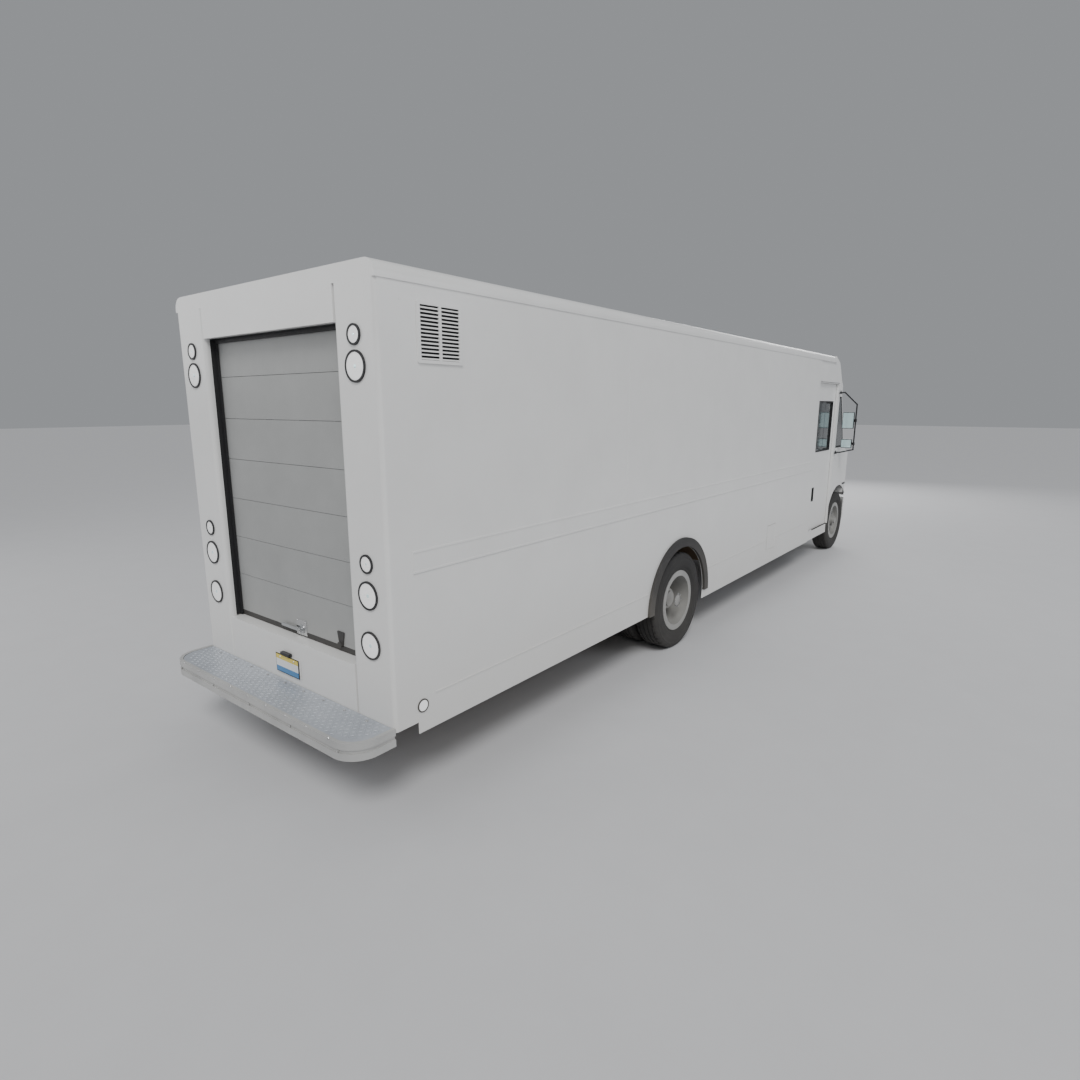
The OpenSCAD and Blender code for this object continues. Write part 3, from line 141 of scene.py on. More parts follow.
# One material for each slot of the record
M = {
    "body_white": material("white_paint", (0.80, 0.80, 0.79), 0.34, coat=0.25, dirt=0.05, low=0.42,
                           bump=0.10, scale=140),
    "door_grey": material("door_paint", (0.36, 0.365, 0.36), 0.48, dirt=0.12, low=0.3, bump=0.15,
                          scale=180),
    "chassis_black": material("chassis_paint", (0.035, 0.035, 0.038), 0.55, dirt=0.35, low=0.5,
                              bump=0.4, scale=90),
    "cast_grey": material("cast_paint", (0.18, 0.19, 0.20), 0.6, metal=0.3, dirt=0.35, bump=0.7,
                          scale=110),
    "radiator_black": material("fins", (0.05, 0.05, 0.055), 0.5, metal=0.6, dirt=0.3, bump=0.5),
    "exhaust_steel": material("pipe_steel", (0.34, 0.31, 0.29), 0.5, metal=0.9, dirt=0.4, bump=0.4),
    "floor_boards": material("boards", (0.33, 0.24, 0.16), 0.62, dirt=0.4, bump=0.6, scale=45),
    "shelf_steel": material("shelf_paint", (0.47, 0.48, 0.50), 0.45, dirt=0.15, bump=0.2),
    "tank_aluminium": material("tank", (0.36, 0.37, 0.39), 0.4, metal=0.9, dirt=0.25, bump=0.3),
    "cab_liner": material("liner", (0.09, 0.093, 0.10), 0.72, dirt=0.15, bump=0.9, scale=420),
    "interior_light": material("inner_paint", (0.62, 0.63, 0.63), 0.5, dirt=0.12, bump=0.15),
    "glass_dark": material("tinted_glass", (0.055, 0.07, 0.075), 0.05, coat=0.6, dirt=0.1,
                           glass=True, scale=30),
    "seat_vinyl": material("vinyl", (0.045, 0.048, 0.055), 0.5, dirt=0.2, bump=0.9, scale=520),
    "black_plastic": material("plastic_black", (0.022, 0.022, 0.024), 0.42, dirt=0.2, bump=0.4,
                              scale=380),
    "bumper_steel": material("worn_metal", (0.58, 0.585, 0.58), 0.48, metal=0.3, dirt=0.25,
                             low=0.25, bump=0.5, scale=120),
    "tread_aluminium": material("tread_plate", (0.54, 0.58, 0.64), 0.42, metal=0.45, dirt=0.25,
                                low=0.2, bump=0.4, scale=150),
    "flare_rubber": material("rubber_black", (0.028, 0.028, 0.03), 0.62, dirt=0.25, low=0.35,
                             bump=0.5, scale=260),
    "lens_white": material("lens", (0.93, 0.93, 0.93), 0.12, coat=0.8, bump=0.0, glow=0.3),
    "galvanised": material("zinc", (0.52, 0.53, 0.54), 0.38, metal=0.9, dirt=0.2, bump=0.35),
    "tyre": material("tyre_rubber", (0.022, 0.022, 0.023), 0.78, dirt=0.2, low=0.30, bump=0.6,
                     scale=240, dust=TYRE_DUST),
    "rim_grey": material("rim_paint", (0.42, 0.425, 0.42), 0.45, metal=0.3, dirt=0.3, low=0.45,
                         bump=0.35, scale=130),
}
M["lens_white"] = ribbed(M["lens_white"], "lens_ribbed", 0.008, 0.5)

# Finishes of small pieces; the glow of the mirror one is a painted reflection, and the dark one is
# painted shade, no finish
EXTRA = {
    "bright": material("bright_steel", (0.6, 0.6, 0.6), 0.28, metal=1.0, dirt=0.15, bump=0.2),
    # the mirror glass glows pale blue: a painted reflection
    "mirror": material("mirror_glass_painted_reflection", (0.70, 0.90, 0.92), 0.05, metal=0.55, dirt=0.04, glow=0.25),
    "gasket": material("gasket", (0.018, 0.018, 0.02), 0.6, dirt=0.2, bump=0.3),
    "yellow": material("plate_yellow", (0.78, 0.62, 0.10), 0.4, coat=0.4, dirt=0.1),
    "plate": material("plate_white", (0.80, 0.82, 0.84), 0.4, coat=0.4, dirt=0.1),
    "blue": material("plate_blue", (0.05, 0.22, 0.48), 0.4, coat=0.4, dirt=0.1),
    # near-black for gaps and recesses: painted shade
    "dark": material("painted_shade_dark", (0.012, 0.012, 0.013), 0.8, dirt=0.2, bump=0.2),
    "dial": material("dial_face", (0.65, 0.66, 0.62), 0.4, coat=0.5, dirt=0.1),
}
SLOT = {n["node"]: n["material_slot"] for n in frame["record"]["subparts"]}
SMOOTH_ANGLE = 32


def smooth(o, angle=SMOOTH_ANGLE):
    o.data.shade_smooth()
    o.data.set_sharp_from_angle(angle=math.radians(angle))


for name, o in NODES.items():
    o.data.materials.clear()
    o.data.materials.append(M[SLOT[name]])
    for p in o.data.polygons:
        p.material_index = 0
    smooth(o)


def paint(node, mat, test):
    """Gives the faces of a CAD node that pass test(centre, normal) another material."""
    mesh = NODES[node].data
    mesh.materials.append(mat)
    index = len(mesh.materials) - 1
    for p in mesh.polygons:
        if test(p.center, p.normal):
            p.material_index = index


def soften(node, width):
    """Rounds the sharp edges of a CAD node in the picture."""
    bevel = NODES[node].modifiers.new("edge", "BEVEL")
    bevel.width = width
    bevel.segments = 2
    bevel.limit_method = "ANGLE"
    bevel.angle_limit = math.radians(40)
    bevel.harden_normals = False


# ---------- building new pieces ----------
X_AXIS, Y_AXIS, Z_AXIS = (1, 0, 0), (0, 1, 0), (0, 0, 1)
TIP = 0.0001          # radius that closes a turned profile on its axis
MERGE = 1e-6          # vertices nearer than this are one
BOX_FACES = [(0, 1, 3, 2), (4, 6, 7, 5), (0, 4, 5, 1), (2, 3, 7, 6), (0, 2, 6, 4), (1, 5, 7, 3)]


class Build:
    """Vertices and faces collected for one new piece."""
    def __init__(self):
        self.verts = []
        self.faces = []

    def add(self, verts, faces):
        k = len(self.verts)
        self.verts += [tuple(p) for p in verts]
        self.faces += [tuple(i + k for i in f) for f in faces]

    def box(self, lo, hi):
        xs, ys, zs = [(min(a, b), max(a, b)) for a, b in zip(lo, hi)]
        self.add([(x, y, z) for x in xs for y in ys for z in zs], BOX_FACES)

    def lathe(self, c, axis, prof, n=32, turn=0.0, reshape=None):
        """Revolves (radius, along) pairs about an axis through c; an open profile gets ends.
        reshape(step, row, radius) may change a radius."""
        a = Vector(axis).normalized()
        u = a.orthogonal().normalized()
        w = a.cross(u)
        verts = []
        for i in range(n):
            t = turn + 2 * math.pi * i / n
            d = u * math.cos(t) + w * math.sin(t)
            for j, (r, h) in enumerate(prof):
                verts.append(Vector(c) + d * (reshape(i, j, r) if reshape else r) + a * h)
        m = len(prof)
        faces = []
        for i in range(n):
            k = (i + 1) % n
            faces += [(i * m + j, k * m + j, k * m + j + 1, i * m + j + 1) for j in range(m - 1)]
        if prof[0] != prof[-1]:
            faces.append(tuple(i * m for i in range(n))[::-1])
            faces.append(tuple(i * m + m - 1 for i in range(n)))
        self.add(verts, faces)

    def nut(self, c, axis, r, h, turn=0.0):
        """Hexagon nut with a chamfered top on a thin washer."""
        self.lathe(c, axis, [(r, 0), (r, h * 0.85), (r * 0.86, h)], 6, turn)
        self.lathe(c, axis, [(r * 1.25, 0), (r * 1.25, h * 0.12)], 20)

    def dome(self, c, axis, r, shoulder, height, n=8):
        """Low round screw or rivet head."""
        self.lathe(c, axis, [(r, 0), (r - 0.001, shoulder), (TIP, height)], n)

    def make(self, name, mat, body, angle=SMOOTH_ANGLE):
        """Turns what was collected into a piece that rides on a body."""
        mesh = bpy.data.meshes.new(name)
        mesh.from_pydata(self.verts, [], self.faces)
        mesh.update()
        bm = bmesh.new()
        bm.from_mesh(mesh)
        bmesh.ops.remove_doubles(bm, verts=bm.verts, dist=MERGE)
        bmesh.ops.recalc_face_normals(bm, faces=bm.faces)
        bm.to_mesh(mesh)
        bm.free()
        o = bpy.data.objects.new(name, mesh)
        bpy.context.scene.collection.objects.link(o)
        mesh.materials.append(mat)
        smooth(o, angle)
        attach(o, body)
        return o


def islands(node):
    """The loose parts of a CAD node as (vertices, faces, low corner, high corner)."""
    bm = bmesh.new()
    bm.from_mesh(NODES[node].data)
    bmesh.ops.remove_doubles(bm, verts=bm.verts, dist=MERGE)
    bm.verts.index_update()
    seen = set()
    out = []
    for v in bm.verts:
        if v.index in seen:
            continue
        seen.add(v.index)
        group, todo = [], [v]
        while todo:
            q = todo.pop()
            group.append(q)
            for e in q.link_edges:
                w = e.other_vert(q)
                if w.index not in seen:
                    seen.add(w.index)
                    todo.append(w)
        number = {q.index: i for i, q in enumerate(group)}
        faces = [tuple(number[w.index] for w in f.verts)
                 for q in group for f in q.link_faces if f.verts[0] is q]
        points = [tuple(q.co) for q in group]
        lo = [min(p[i] for p in points) for i in range(3)]
        hi = [max(p[i] for p in points) for i in range(3)]
        out.append((points, faces, lo, hi))
    bm.free()
    return out


def middle(lo, hi):
    return [(a + b) / 2 for a, b in zip(lo, hi)]


# ---------- tyres with tread and sidewall rings ----------
TYRE_LO, TYRE_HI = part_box("tyre_front_left")
TYRE_HALF = (TYRE_HI[0] - TYRE_LO[0]) / 2
TREAD_STEPS = 216       # facets round the tyre
LUG_STEPS = 6           # facets from one tread lug to the next
GROOVE = 0.011          # depth of the grooves round the tyre
SLOT_CUT, SIPE_CUT = 0.012, 0.008
CASING = 0.034          # thickness under the tread
TYRE_INSET = 0.0003     # keeps the new tyre inside the CAD one


def tyre(build, x, y, z, big):
    """One hollow tyre with a plain stepped sidewall and a grooved, lugged tread."""
    w = TYRE_HALF
    # (radius, distance from the middle plane), from the bead out to the shoulder
    side = [(0.287, 0.099), (0.332, 0.103), (0.338, w - 0.024), (0.350, w - 0.019),
            (0.372, w - 0.010), (0.375, w - 0.006), (0.385, w - 0.006), (0.388, w - 0.003),
            (0.420, w - 0.001), (0.424, w), (0.436, w), (0.440, w - 0.001), (0.470, w - 0.004),
            (0.474, w - 0.002), (0.484, w - 0.003), (0.488, w - 0.007), (0.505, w - 0.012),
            (big - 0.012, w - 0.020), (big - 0.003, w - 0.030)]
    # from the shoulder to the middle, with two grooves
    rib = w - 0.055
    tread = [(big - 0.001, w - 0.034), (big, rib), (big - GROOVE, rib - 0.002),
             (big - GROOVE, rib - 0.012), (big, rib - 0.014), (big, 0.032), (big - GROOVE, 0.030),
             (big - GROOVE, 0.020), (big, 0.018)]
    half = side + tread
    outside = half + [(r, -h) for r, h in reversed(half)]
    inside = [(0.300, -0.085), (0.430, -(w - 0.022)), (big - CASING, -(w - 0.036)),
              (big - CASING, w - 0.036), (0.430, w - 0.022), (0.300, 0.085)]
    shoulder, edge = len(side) - 2, len(side)

    def lugs(i, j, r):
        if j >= len(outside):
            return r
        left = j < len(half)
        row = j if left else len(outside) - 1 - j
        step = i if left else i + 3
        if shoulder <= row <= edge + 1 and step % LUG_STEPS == 0:
            return r - (SLOT_CUT if row > shoulder else SLOT_CUT / 2)
        if row in (edge + 4, edge + 5) and (step + row) % LUG_STEPS == 2:
            return r - SIPE_CUT
        if row == edge + 8 and step % LUG_STEPS == 4:
            return r - SIPE_CUT
        return r
    build.lathe((x, y, z), X_AXIS, outside + inside + [outside[0]], TREAD_STEPS, 0.0, lugs)


for node, body in (("tyre_front_left", "wheel_front_left"),
                   ("tyre_front_right", "wheel_front_right"),
                   ("tyres_rear_left", "wheels_rear_left"),
                   ("tyres_rear_right", "wheels_rear_right")):
    lo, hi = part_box(node)
    c = middle(lo, hi)
    b = Build()
    for x in sorted({round(lo[0] + TYRE_HALF, 5), round(hi[0] - TYRE_HALF, 5)}):
        tyre(b, x, c[1], c[2], (hi[2] - lo[2]) / 2 - TYRE_INSET)
    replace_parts(b.make(node + "_treaded", M["tyre"], body, 28), node)

# ---------- wheel nuts, hub caps and valve stems ----------
WHEEL_NUTS = 10
WHEEL_NUT = (0.0175, 0.022)             # radius and height
VALVE_ANGLE, VALVE_CIRCLE = 0.4, 0.245
VALVE_STEP = 0.012
# nut circle and depth, cap profile, then the cap's own nuts: count, circle, depth, size
FRONT_HUB = (0.140, 0.088, [(TIP, 0.003), (0.030, 0.002), (0.045, -0.004), (0.0555, -0.010),
                            (0.0565, -0.026)], 6, 0.067, 0.026, (0.007, 0.008))
REAR_HUB = (0.150, 0.212, [(TIP, 0.004), (0.050, 0.003), (0.060, -0.002)],
            8, 0.071, 0.0, (0.009, 0.011))
for node, body, s, hub in (("rim_front_left", "wheel_front_left", 1, FRONT_HUB),
                           ("rim_front_right", "wheel_front_right", -1, FRONT_HUB),
                           ("rims_rear_left", "wheels_rear_left", 1, REAR_HUB),
                           ("rims_rear_right", "wheels_rear_right", -1, REAR_HUB)):
    nut_circle, nut_depth, cap_profile, cap_nuts, cap_circle, cap_depth, cap_nut = hub
    lo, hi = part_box(node)
    axle = middle(lo, hi)
    out = hi[0] if s > 0 else lo[0]
    b = Build()
    cap = Build()

    def rim_point(depth, r, a):
        """The point at radius r and angle a, this far in from the wheel's outer face."""
        return (out - s * depth, axle[1] + r * math.sin(a), axle[2] + r * math.cos(a))

    for i in range(WHEEL_NUTS):
        a = math.tau * i / WHEEL_NUTS
        b.nut(rim_point(nut_depth, nut_circle, a), (s, 0, 0), *WHEEL_NUT, a)
    cap.lathe((out, axle[1], axle[2]), (s, 0, 0), cap_profile, 40)
    for i in range(cap_nuts):
        b.nut(rim_point(cap_depth, cap_circle, math.tau * i / cap_nuts), (s, 0, 0), *cap_nut)
    for k in range(3):
        r = 0.0045 - 0.0007 * k
        b.lathe(rim_point(0.10 - VALVE_STEP * k, VALVE_CIRCLE, VALVE_ANGLE), (s, 0, 0),
                [(r, 0), (r, VALVE_STEP)], 12)
    b.make(node + "_nuts", EXTRA["bright"], body)
    cap.make(node + "_cap", M["rim_grey"], body)

# ---------- body seams, gaskets and fittings ----------
WALL_LO, WALL_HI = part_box("side_wall_left")
FRAME_LO, FRAME_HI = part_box("rear_frame")
DOOR_LO, DOOR_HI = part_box("rear_door_panels")
TREAD_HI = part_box("tread_plate")[1]
BUMPER_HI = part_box("rear_bumper")[1]
VENT_LO, VENT_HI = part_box("side_vents")
REAR_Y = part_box("roof")[1][1]
WALL_FRONT, WALL_REAR, WALL_TOP = WALL_LO[1], WALL_HI[1], WALL_HI[2]
PANEL_X = 0.0061        # how far the wall's skin lies inside its box
RIVET = (0.005, 0.0014, 0.002)

# rivet rows on the posts and under the cant rail
b = Build()
for s in (-1, 1):
    for i in range(21):
        b.dome((s * (FRAME_HI[0] - 0.0002), WALL_REAR + 0.022, 0.66 + i * 0.128), (s, 0, 0), *RIVET)
    for i in range(54):
        b.dome((s * (WALL_HI[0] - 0.0065), WALL_FRONT + 0.08 + i * 0.156, WALL_TOP - 0.024),
               (s, 0, 0), *RIVET)
b.make("body_rivets", M["body_white"], "truck", 40)

# thin raised joint strips on the side panels, above and below the belt moulding
STRIP_W, STRIP_T = 0.03, 0.0012
BELT_LOW, BELT_HIGH = 1.595, 1.745
b = Build()
for s in (-1, 1):
    x = s * (WALL_HI[0] - PANEL_X)
    for y, foot in ((WALL_FRONT + 2.32, 0.78), (WALL_REAR - 2.6, 0.98)):
        b.box((x, y, BELT_HIGH), (x + s * STRIP_T, y + STRIP_W, WALL_TOP - 0.05))
        b.box((x, y, foot), (x + s * STRIP_T, y + STRIP_W, BELT_LOW))
b.make("side_joint_strips", M["body_white"], "truck")

# near-black sheet behind the louvres: painted shade
b = Build()
for s in (-1, 1):
    x = s * (WALL_HI[0] - 0.0135)
    b.box((x, VENT_LO[1] + 0.012, VENT_LO[2] + 0.012),
          (x + s * 0.002, VENT_HI[1] - 0.012, VENT_HI[2] - 0.012))
b.make("painted_shade_behind_louvres", EXTRA["dark"], "truck")

# black guide channels just inside the doorway, with the head seal
b = Build()
channel_y = DOOR_HI[1] + 0.006
channel_x = DOOR_HI[0] - 0.018
channel_z = FRAME_LO[2] + 0.37, FRAME_HI[2] - 0.215
for s in (-1, 1):
    b.box((s * channel_x, channel_y, channel_z[0]),
          (s * (channel_x - 0.026), channel_y + 0.010, channel_z[1]))
    b.box((s * channel_x, channel_y, channel_z[0]),
          (s * (channel_x + 0.004), REAR_Y - 0.046, channel_z[1]))
b.box((-channel_x, channel_y, FRAME_HI[2] - 0.245),
      (channel_x, channel_y + 0.012, FRAME_HI[2] - 0.2142))
b.make("doorway_seal", EXTRA["gasket"], "truck")

# licence plate: three plain colour bands in a black frame, with its screws and lamp
PLATE_X, PLATE_LOW, PLATE_HIGH = 0.149, 0.684, 0.826
PLATE_RIM = 0.006
PLATE_Y = FRAME_HI[1] + 0.0042
band_y = PLATE_Y + 0.003, PLATE_Y + 0.0044
b = Build()
b.box((-PLATE_X, PLATE_Y, PLATE_LOW), (PLATE_X, band_y[0], PLATE_HIGH))
b.make("plate_frame", EXTRA["gasket"], "truck")
for name, finish, z0, z1 in (("plate_band_low", "blue", 0.690, 0.730),
                             ("plate_band_mid", "plate", 0.730, 0.786),
                             ("plate_band_top", "yellow", 0.786, 0.820)):
    b = Build()
    b.box((-PLATE_X + PLATE_RIM, band_y[0], z0), (PLATE_X - PLATE_RIM, band_y[1], z1))
    b.make(name, EXTRA[finish], "truck")
b = Build()
for s in (-1, 1):
    b.nut((s * 0.089, band_y[1], 0.805), Y_AXIS, 0.006, 0.004)
b.make("plate_screws", EXTRA["bright"], "truck")
b = Build()
b.box((-0.055, PLATE_Y - 0.006, 0.834), (0.055, PLATE_Y + 0.020, 0.856))
b.box((-0.045, PLATE_Y + 0.002, 0.830), (0.045, PLATE_Y + 0.016, 0.834))
b.make("plate_lamp", M["black_plastic"], "truck")

# latch plate with its bolt heads and pivot cap
LATCH_LO, LATCH_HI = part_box("rear_latch")
LATCH_PLATE_T = 0.003
b = Build()
b.lathe((LATCH_LO[0] + 0.034, LATCH_HI[1], (LATCH_LO[2] + LATCH_HI[2]) / 2), Y_AXIS,
        [(0.011, -0.002), (0.011, 0.003), (0.008, 0.005), (TIP, 0.0055)], 20)
b.box((LATCH_LO[0] - 0.03, DOOR_HI[1], LATCH_LO[2] - 0.012),
      (LATCH_LO[0] + 0.10, DOOR_HI[1] + LATCH_PLATE_T, LATCH_HI[2] + 0.035))
for dx, dz in ((-0.02, -0.003), (0.088, -0.003), (-0.02, 0.092), (0.088, 0.092)):
    b.dome((LATCH_LO[0] + dx, DOOR_HI[1] + LATCH_PLATE_T, LATCH_LO[2] + dz), Y_AXIS,
           0.006, 0.002, 0.003, 12)
b.make("latch_plate", EXTRA["bright"], "rear_door")

# screws along the foot of each door panel but the lowest
DOOR_PANELS = 7
panel_h = (DOOR_HI[2] - DOOR_LO[2]) / DOOR_PANELS
b = Build()
for i in range(1, DOOR_PANELS):
    for k in range(12):
        b.lathe((-0.77 + k * 0.14, DOOR_HI[1], DOOR_LO[2] + i * panel_h + 0.016), Y_AXIS,
                [(0.0045, 0), (0.0035, 0.0012), (TIP, 0.0016)], 8)
b.make("door_screws", M["door_grey"], "rear_door")

# raised lozenges on the tread plate, left out at its rounded corners
LOZENGES_X, LOZENGES_Y = 76, 9
LOZENGE_LONG, LOZENGE_WIDE = 0.0115, 0.0032
LOZENGE_RISE = Vector((0, 0, 0.0016))
CORNER, CORNER_R = 0.17, 0.145
tread_x = TREAD_HI[0] - 0.02
b = Build()
for i in range(LOZENGES_X):
    for j in range(LOZENGES_Y):
        x = -tread_x + 0.014 + (2 * tread_x - 0.028) * i / (LOZENGES_X - 1)
        y = REAR_Y + 0.022 + (TREAD_HI[1] - REAR_Y - 0.046) * j / (LOZENGES_Y - 1)
        corner_x, corner_y = abs(x) - (tread_x - CORNER), y - (TREAD_HI[1] - CORNER)
        if corner_x > 0 and corner_y > 0 and math.hypot(corner_x, corner_y) > CORNER_R:
            continue
        a = math.radians(45 if (i + j) % 2 else -45)
        u = Vector((math.cos(a), math.sin(a), 0)) * LOZENGE_LONG
        v = Vector((-math.sin(a), math.cos(a), 0)) * LOZENGE_WIDE
        p = Vector((x, y, TREAD_HI[2] - 0.0001))
        top = p + LOZENGE_RISE
        b.add([p + u, p + v, p - u, p - v,
               top + u * 0.6, top + v * 0.5, top - u * 0.6, top - v * 0.5],
              [(0, 1, 5, 4), (1, 2, 6, 5), (2, 3, 7, 6), (3, 0, 4, 7), (4, 5, 6, 7)])
b.make("tread_lozenges", M["tread_aluminium"], "truck", 20)
b = Build()
for k in range(9):
    x = -0.96 + 0.24 * k
    b.nut((x, BUMPER_HI[1] - 0.0005, BUMPER_HI[2] - 0.018), Y_AXIS, 0.0085, 0.002)
    b.nut((x, REAR_Y + 0.04, TREAD_HI[2] + 0.0002), Z_AXIS, 0.009, 0.005)
b.make("step_screws", EXTRA["bright"], "truck")

# ---------- cab doors ----------
CAB_LO, CAB_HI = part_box("cab_shell")
GASKET_W, GASKET_LAP = 0.020, 0.006
WINDOW_W, FIXED_PANE = 0.790, 0.38      # whole window, and where its fixed pane starts
PULL_Y = 0.294, 0.174                   # recess of the door pull, forward of the rear edge
PULL_Z = 1.060, 1.270
PULL_RIM, PULL_EDGE = 0.010, 0.009      # rim above and below, and fore and aft
EDGE = 0.001                            # slack of the face tests
SASH_RIM = 0.027
for side, s in SIDES:
    node = "cab_door_" + side
    lo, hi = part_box(node)
    sash_lo, sash_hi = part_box("window_" + side)
    y0, z0, z1 = sash_lo[1] - EDGE, sash_lo[2] - EDGE, sash_hi[2] + EDGE
    y1 = y0 + WINDOW_W
    out = hi[0] if s > 0 else lo[0]
    paint(node, M["glass_dark"], lambda c, n: y0 + FIXED_PANE < c.y < y1 + EDGE
          and z0 < c.z < z1 and abs(n.x) > 0.5 and 0.004 < abs(out - c.x) < 0.015)
    paint(node, EXTRA["gasket"], lambda c, n: y0 - EDGE < c.y < y1 + EDGE
          and z0 - EDGE < c.z < z1 + EDGE and abs(n.x) < 0.5)
    # the recess of the door pull in near-black: painted shade
    paint(node, EXTRA["dark"], lambda c, n: PULL_Y[1] - EDGE < hi[1] - c.y < PULL_Y[0] + EDGE
          and PULL_Z[0] - EDGE < c.z < PULL_Z[1] + EDGE and abs(out - c.x) > 0.0005)

    # rubber gasket round the window
    b = Build()
    lap, edge = GASKET_LAP, GASKET_W - GASKET_LAP
    for a0, a1, c0, c1 in ((y0 - edge, y1 + edge, z1 - lap, z1 + edge),
                           (y0 - edge, y1 + edge, z0 - edge, z0 + lap),
                           (y0 - edge, y0 + lap, z0, z1), (y1 - lap, y1 + edge, z0, z1)):
        b.box((out - s * 0.002, a0, c0), (out + s * 0.004, a1, c1))
    b.make("window_gasket_" + side, EXTRA["gasket"], node)

    # raised rim of the door pull
    b = Build()
    front_y, rear_y = hi[1] - PULL_Y[0] - PULL_EDGE, hi[1] - PULL_Y[1] + PULL_EDGE
    low, high = PULL_Z[0] - PULL_RIM, PULL_Z[1] + PULL_RIM
    for a0, a1, c0, c1 in ((front_y, rear_y, low, PULL_Z[0]), (front_y, rear_y, PULL_Z[1], high),
                           (front_y, hi[1] - PULL_Y[0], low, high),
                           (hi[1] - PULL_Y[1], rear_y, low, high)):
        b.box((out - s * 0.001, a0, c0), (out + s * 0.003, a1, c1))
    b.make("door_pull_rim_" + side, M["black_plastic"], node)

    # catch on the sliding sash, whose rim is black
    b = Build()
    sash_x = sash_hi[0] if s > 0 else sash_lo[0]
    b.box((sash_x, sash_hi[1] - 0.034, 2.22), (sash_x + s * 0.001, sash_hi[1] - 0.012, 2.34))
    b.make("sash_catch_" + side, M["black_plastic"], "window_" + side)
    paint("window_" + side, EXTRA["gasket"], lambda c, n: not (
        sash_lo[1] + SASH_RIM < c.y < sash_hi[1] - SASH_RIM
        and sash_lo[2] + SASH_RIM < c.z < sash_hi[2] - SASH_RIM))

    # drip rail above the door
    b = Build()
    rail_x = CAB_HI[0] - 0.044
    rail_y = lo[1] + 0.02, hi[1] - 0.03
    b.box((s * (rail_x - 0.001), rail_y[0], hi[2] - 0.006),
          (s * (rail_x + 0.010), rail_y[1], hi[2] - 0.002))
    b.box((s * (rail_x + 0.008), rail_y[0], hi[2] - 0.006),
          (s * (rail_x + 0.010), rail_y[1], hi[2] + 0.008))
    b.make("drip_rail_" + side, M["body_white"], "truck")

# mirror panes on the rear faces of the heads, the lower one first; their glow is a painted
# reflection
TUBE_OFFSET = 0.132     # from a head's outer edge to the tube that carries it
for side, s in SIDES:
    heads = sorted(islands("mirror_head_" + side), key=lambda part: part[2][2])
    for i, (_, _, lo, hi) in enumerate(heads):
        tube = hi[0] - TUBE_OFFSET if s > 0 else lo[0] + TUBE_OFFSET
        half = (tube - lo[0] if s > 0 else hi[0] - tube) - 0.008
        b = Build()
        b.box((tube - half, hi[1] - 0.001, lo[2] + 0.010),
              (tube + half, hi[1] + 0.0012, hi[2] - 0.010))
        b.make("mirror_pane_%s_%d" % (side, i), EXTRA["mirror"], "mirror_head_" + side)

# ---------- nose and glass ----------
# black for the grille bars and for the mirror brackets of the cab shell
NOSE_Y = CAB_LO[1]
paint("cab_shell", M["black_plastic"], lambda c, n: abs(c.x) < 0.472 and 1.008 < c.z < 1.422
      and c.y < NOSE_Y + 0.0055)
paint("cab_shell", M["black_plastic"], lambda c, n: abs(c.x) > CAB_HI[0] - 0.0435)

GRILLE_X, GRILLE_LOW, GRILLE_HIGH = 0.49, 0.99, 1.44
GRILLE_RIM = 0.022
grille_y = NOSE_Y - 0.006, NOSE_Y + 0.001
b = Build()
b.box((-GRILLE_X, grille_y[0], GRILLE_LOW), (GRILLE_X, grille_y[1], GRILLE_LOW + GRILLE_RIM))
b.box((-GRILLE_X, grille_y[0], GRILLE_HIGH - GRILLE_RIM), (GRILLE_X, grille_y[1], GRILLE_HIGH))
for s in (-1, 1):
    b.box((s * (GRILLE_X - GRILLE_RIM), grille_y[0], GRILLE_LOW),
          (s * GRILLE_X, grille_y[1], GRILLE_HIGH))
b.make("grille_surround", M["black_plastic"], "truck")

# screen gasket with a centre bar, laid along the sloping pane
panes = sorted(islands("windshield"), key=lambda part: -(part[3][0] - part[2][0]))
points, _, lo, hi = panes[0]
points = [Vector(p) for p in points]
foot = min(points, key=lambda p: p.y)
head = max(points, key=lambda p: p.z - p.y * 0.4)
slope = Vector((0, head.y - foot.y, head.z - foot.z))
slope_len = slope.length
slope.normalize()
outward = Vector((0, -slope.z, slope.y))
SCREEN_RIM, SCREEN_BAR = 0.022, 0.012
b = Build()
for x0, x1, t0, t1 in ((lo[0], hi[0], 0.0, SCREEN_RIM),
                       (lo[0], hi[0], slope_len - SCREEN_RIM, slope_len),
                       (lo[0], lo[0] + SCREEN_RIM, 0, slope_len),
                       (hi[0] - SCREEN_RIM, hi[0], 0, slope_len),
                       (-SCREEN_BAR, SCREEN_BAR, 0, slope_len)):
    b.add([foot + slope * t + outward * h + Vector((x - foot.x, 0, 0))
           for x in (x0, x1) for t in (t0, t1) for h in (-0.002, 0.004)], BOX_FACES)
b.make("screen_gasket", EXTRA["gasket"], "truck")

# gaskets on the quarter glass: the pane's outline and a smaller copy of it
for k, (points, _, lo, hi) in enumerate(panes[1:]):
    s = 1 if lo[0] > 0 else -1
    pane_x = hi[0] if s > 0 else lo[0]
    x_in, x_out = pane_x - s * 0.001, pane_x + s * 0.004
    outline = sorted({(round(p[1], 4), round(p[2], 4)) for p in points})
    n = len(outline)
    cy = sum(p[0] for p in outline) / n
    cz = sum(p[1] for p in outline) / n
    outline.sort(key=lambda p: math.atan2(p[1] - cz, p[0] - cy))
    b = Build()
    verts = []
    for y, z in outline:
        q = Vector((y - cy, z - cz)) * 0.93
        verts += [(x_in, y, z), (x_out, y, z), (x_out, cy + q[0], cz + q[1]),
                  (x_in, cy + q[0], cz + q[1])]
    b.add(verts, [(i * 4 + r, (i + 1) % n * 4 + r, (i + 1) % n * 4 + (r + 1) % 4,
                   i * 4 + (r + 1) % 4) for i in range(n) for r in range(4)])
    b.make("quarter_gasket_%d" % k, EXTRA["gasket"], "truck")
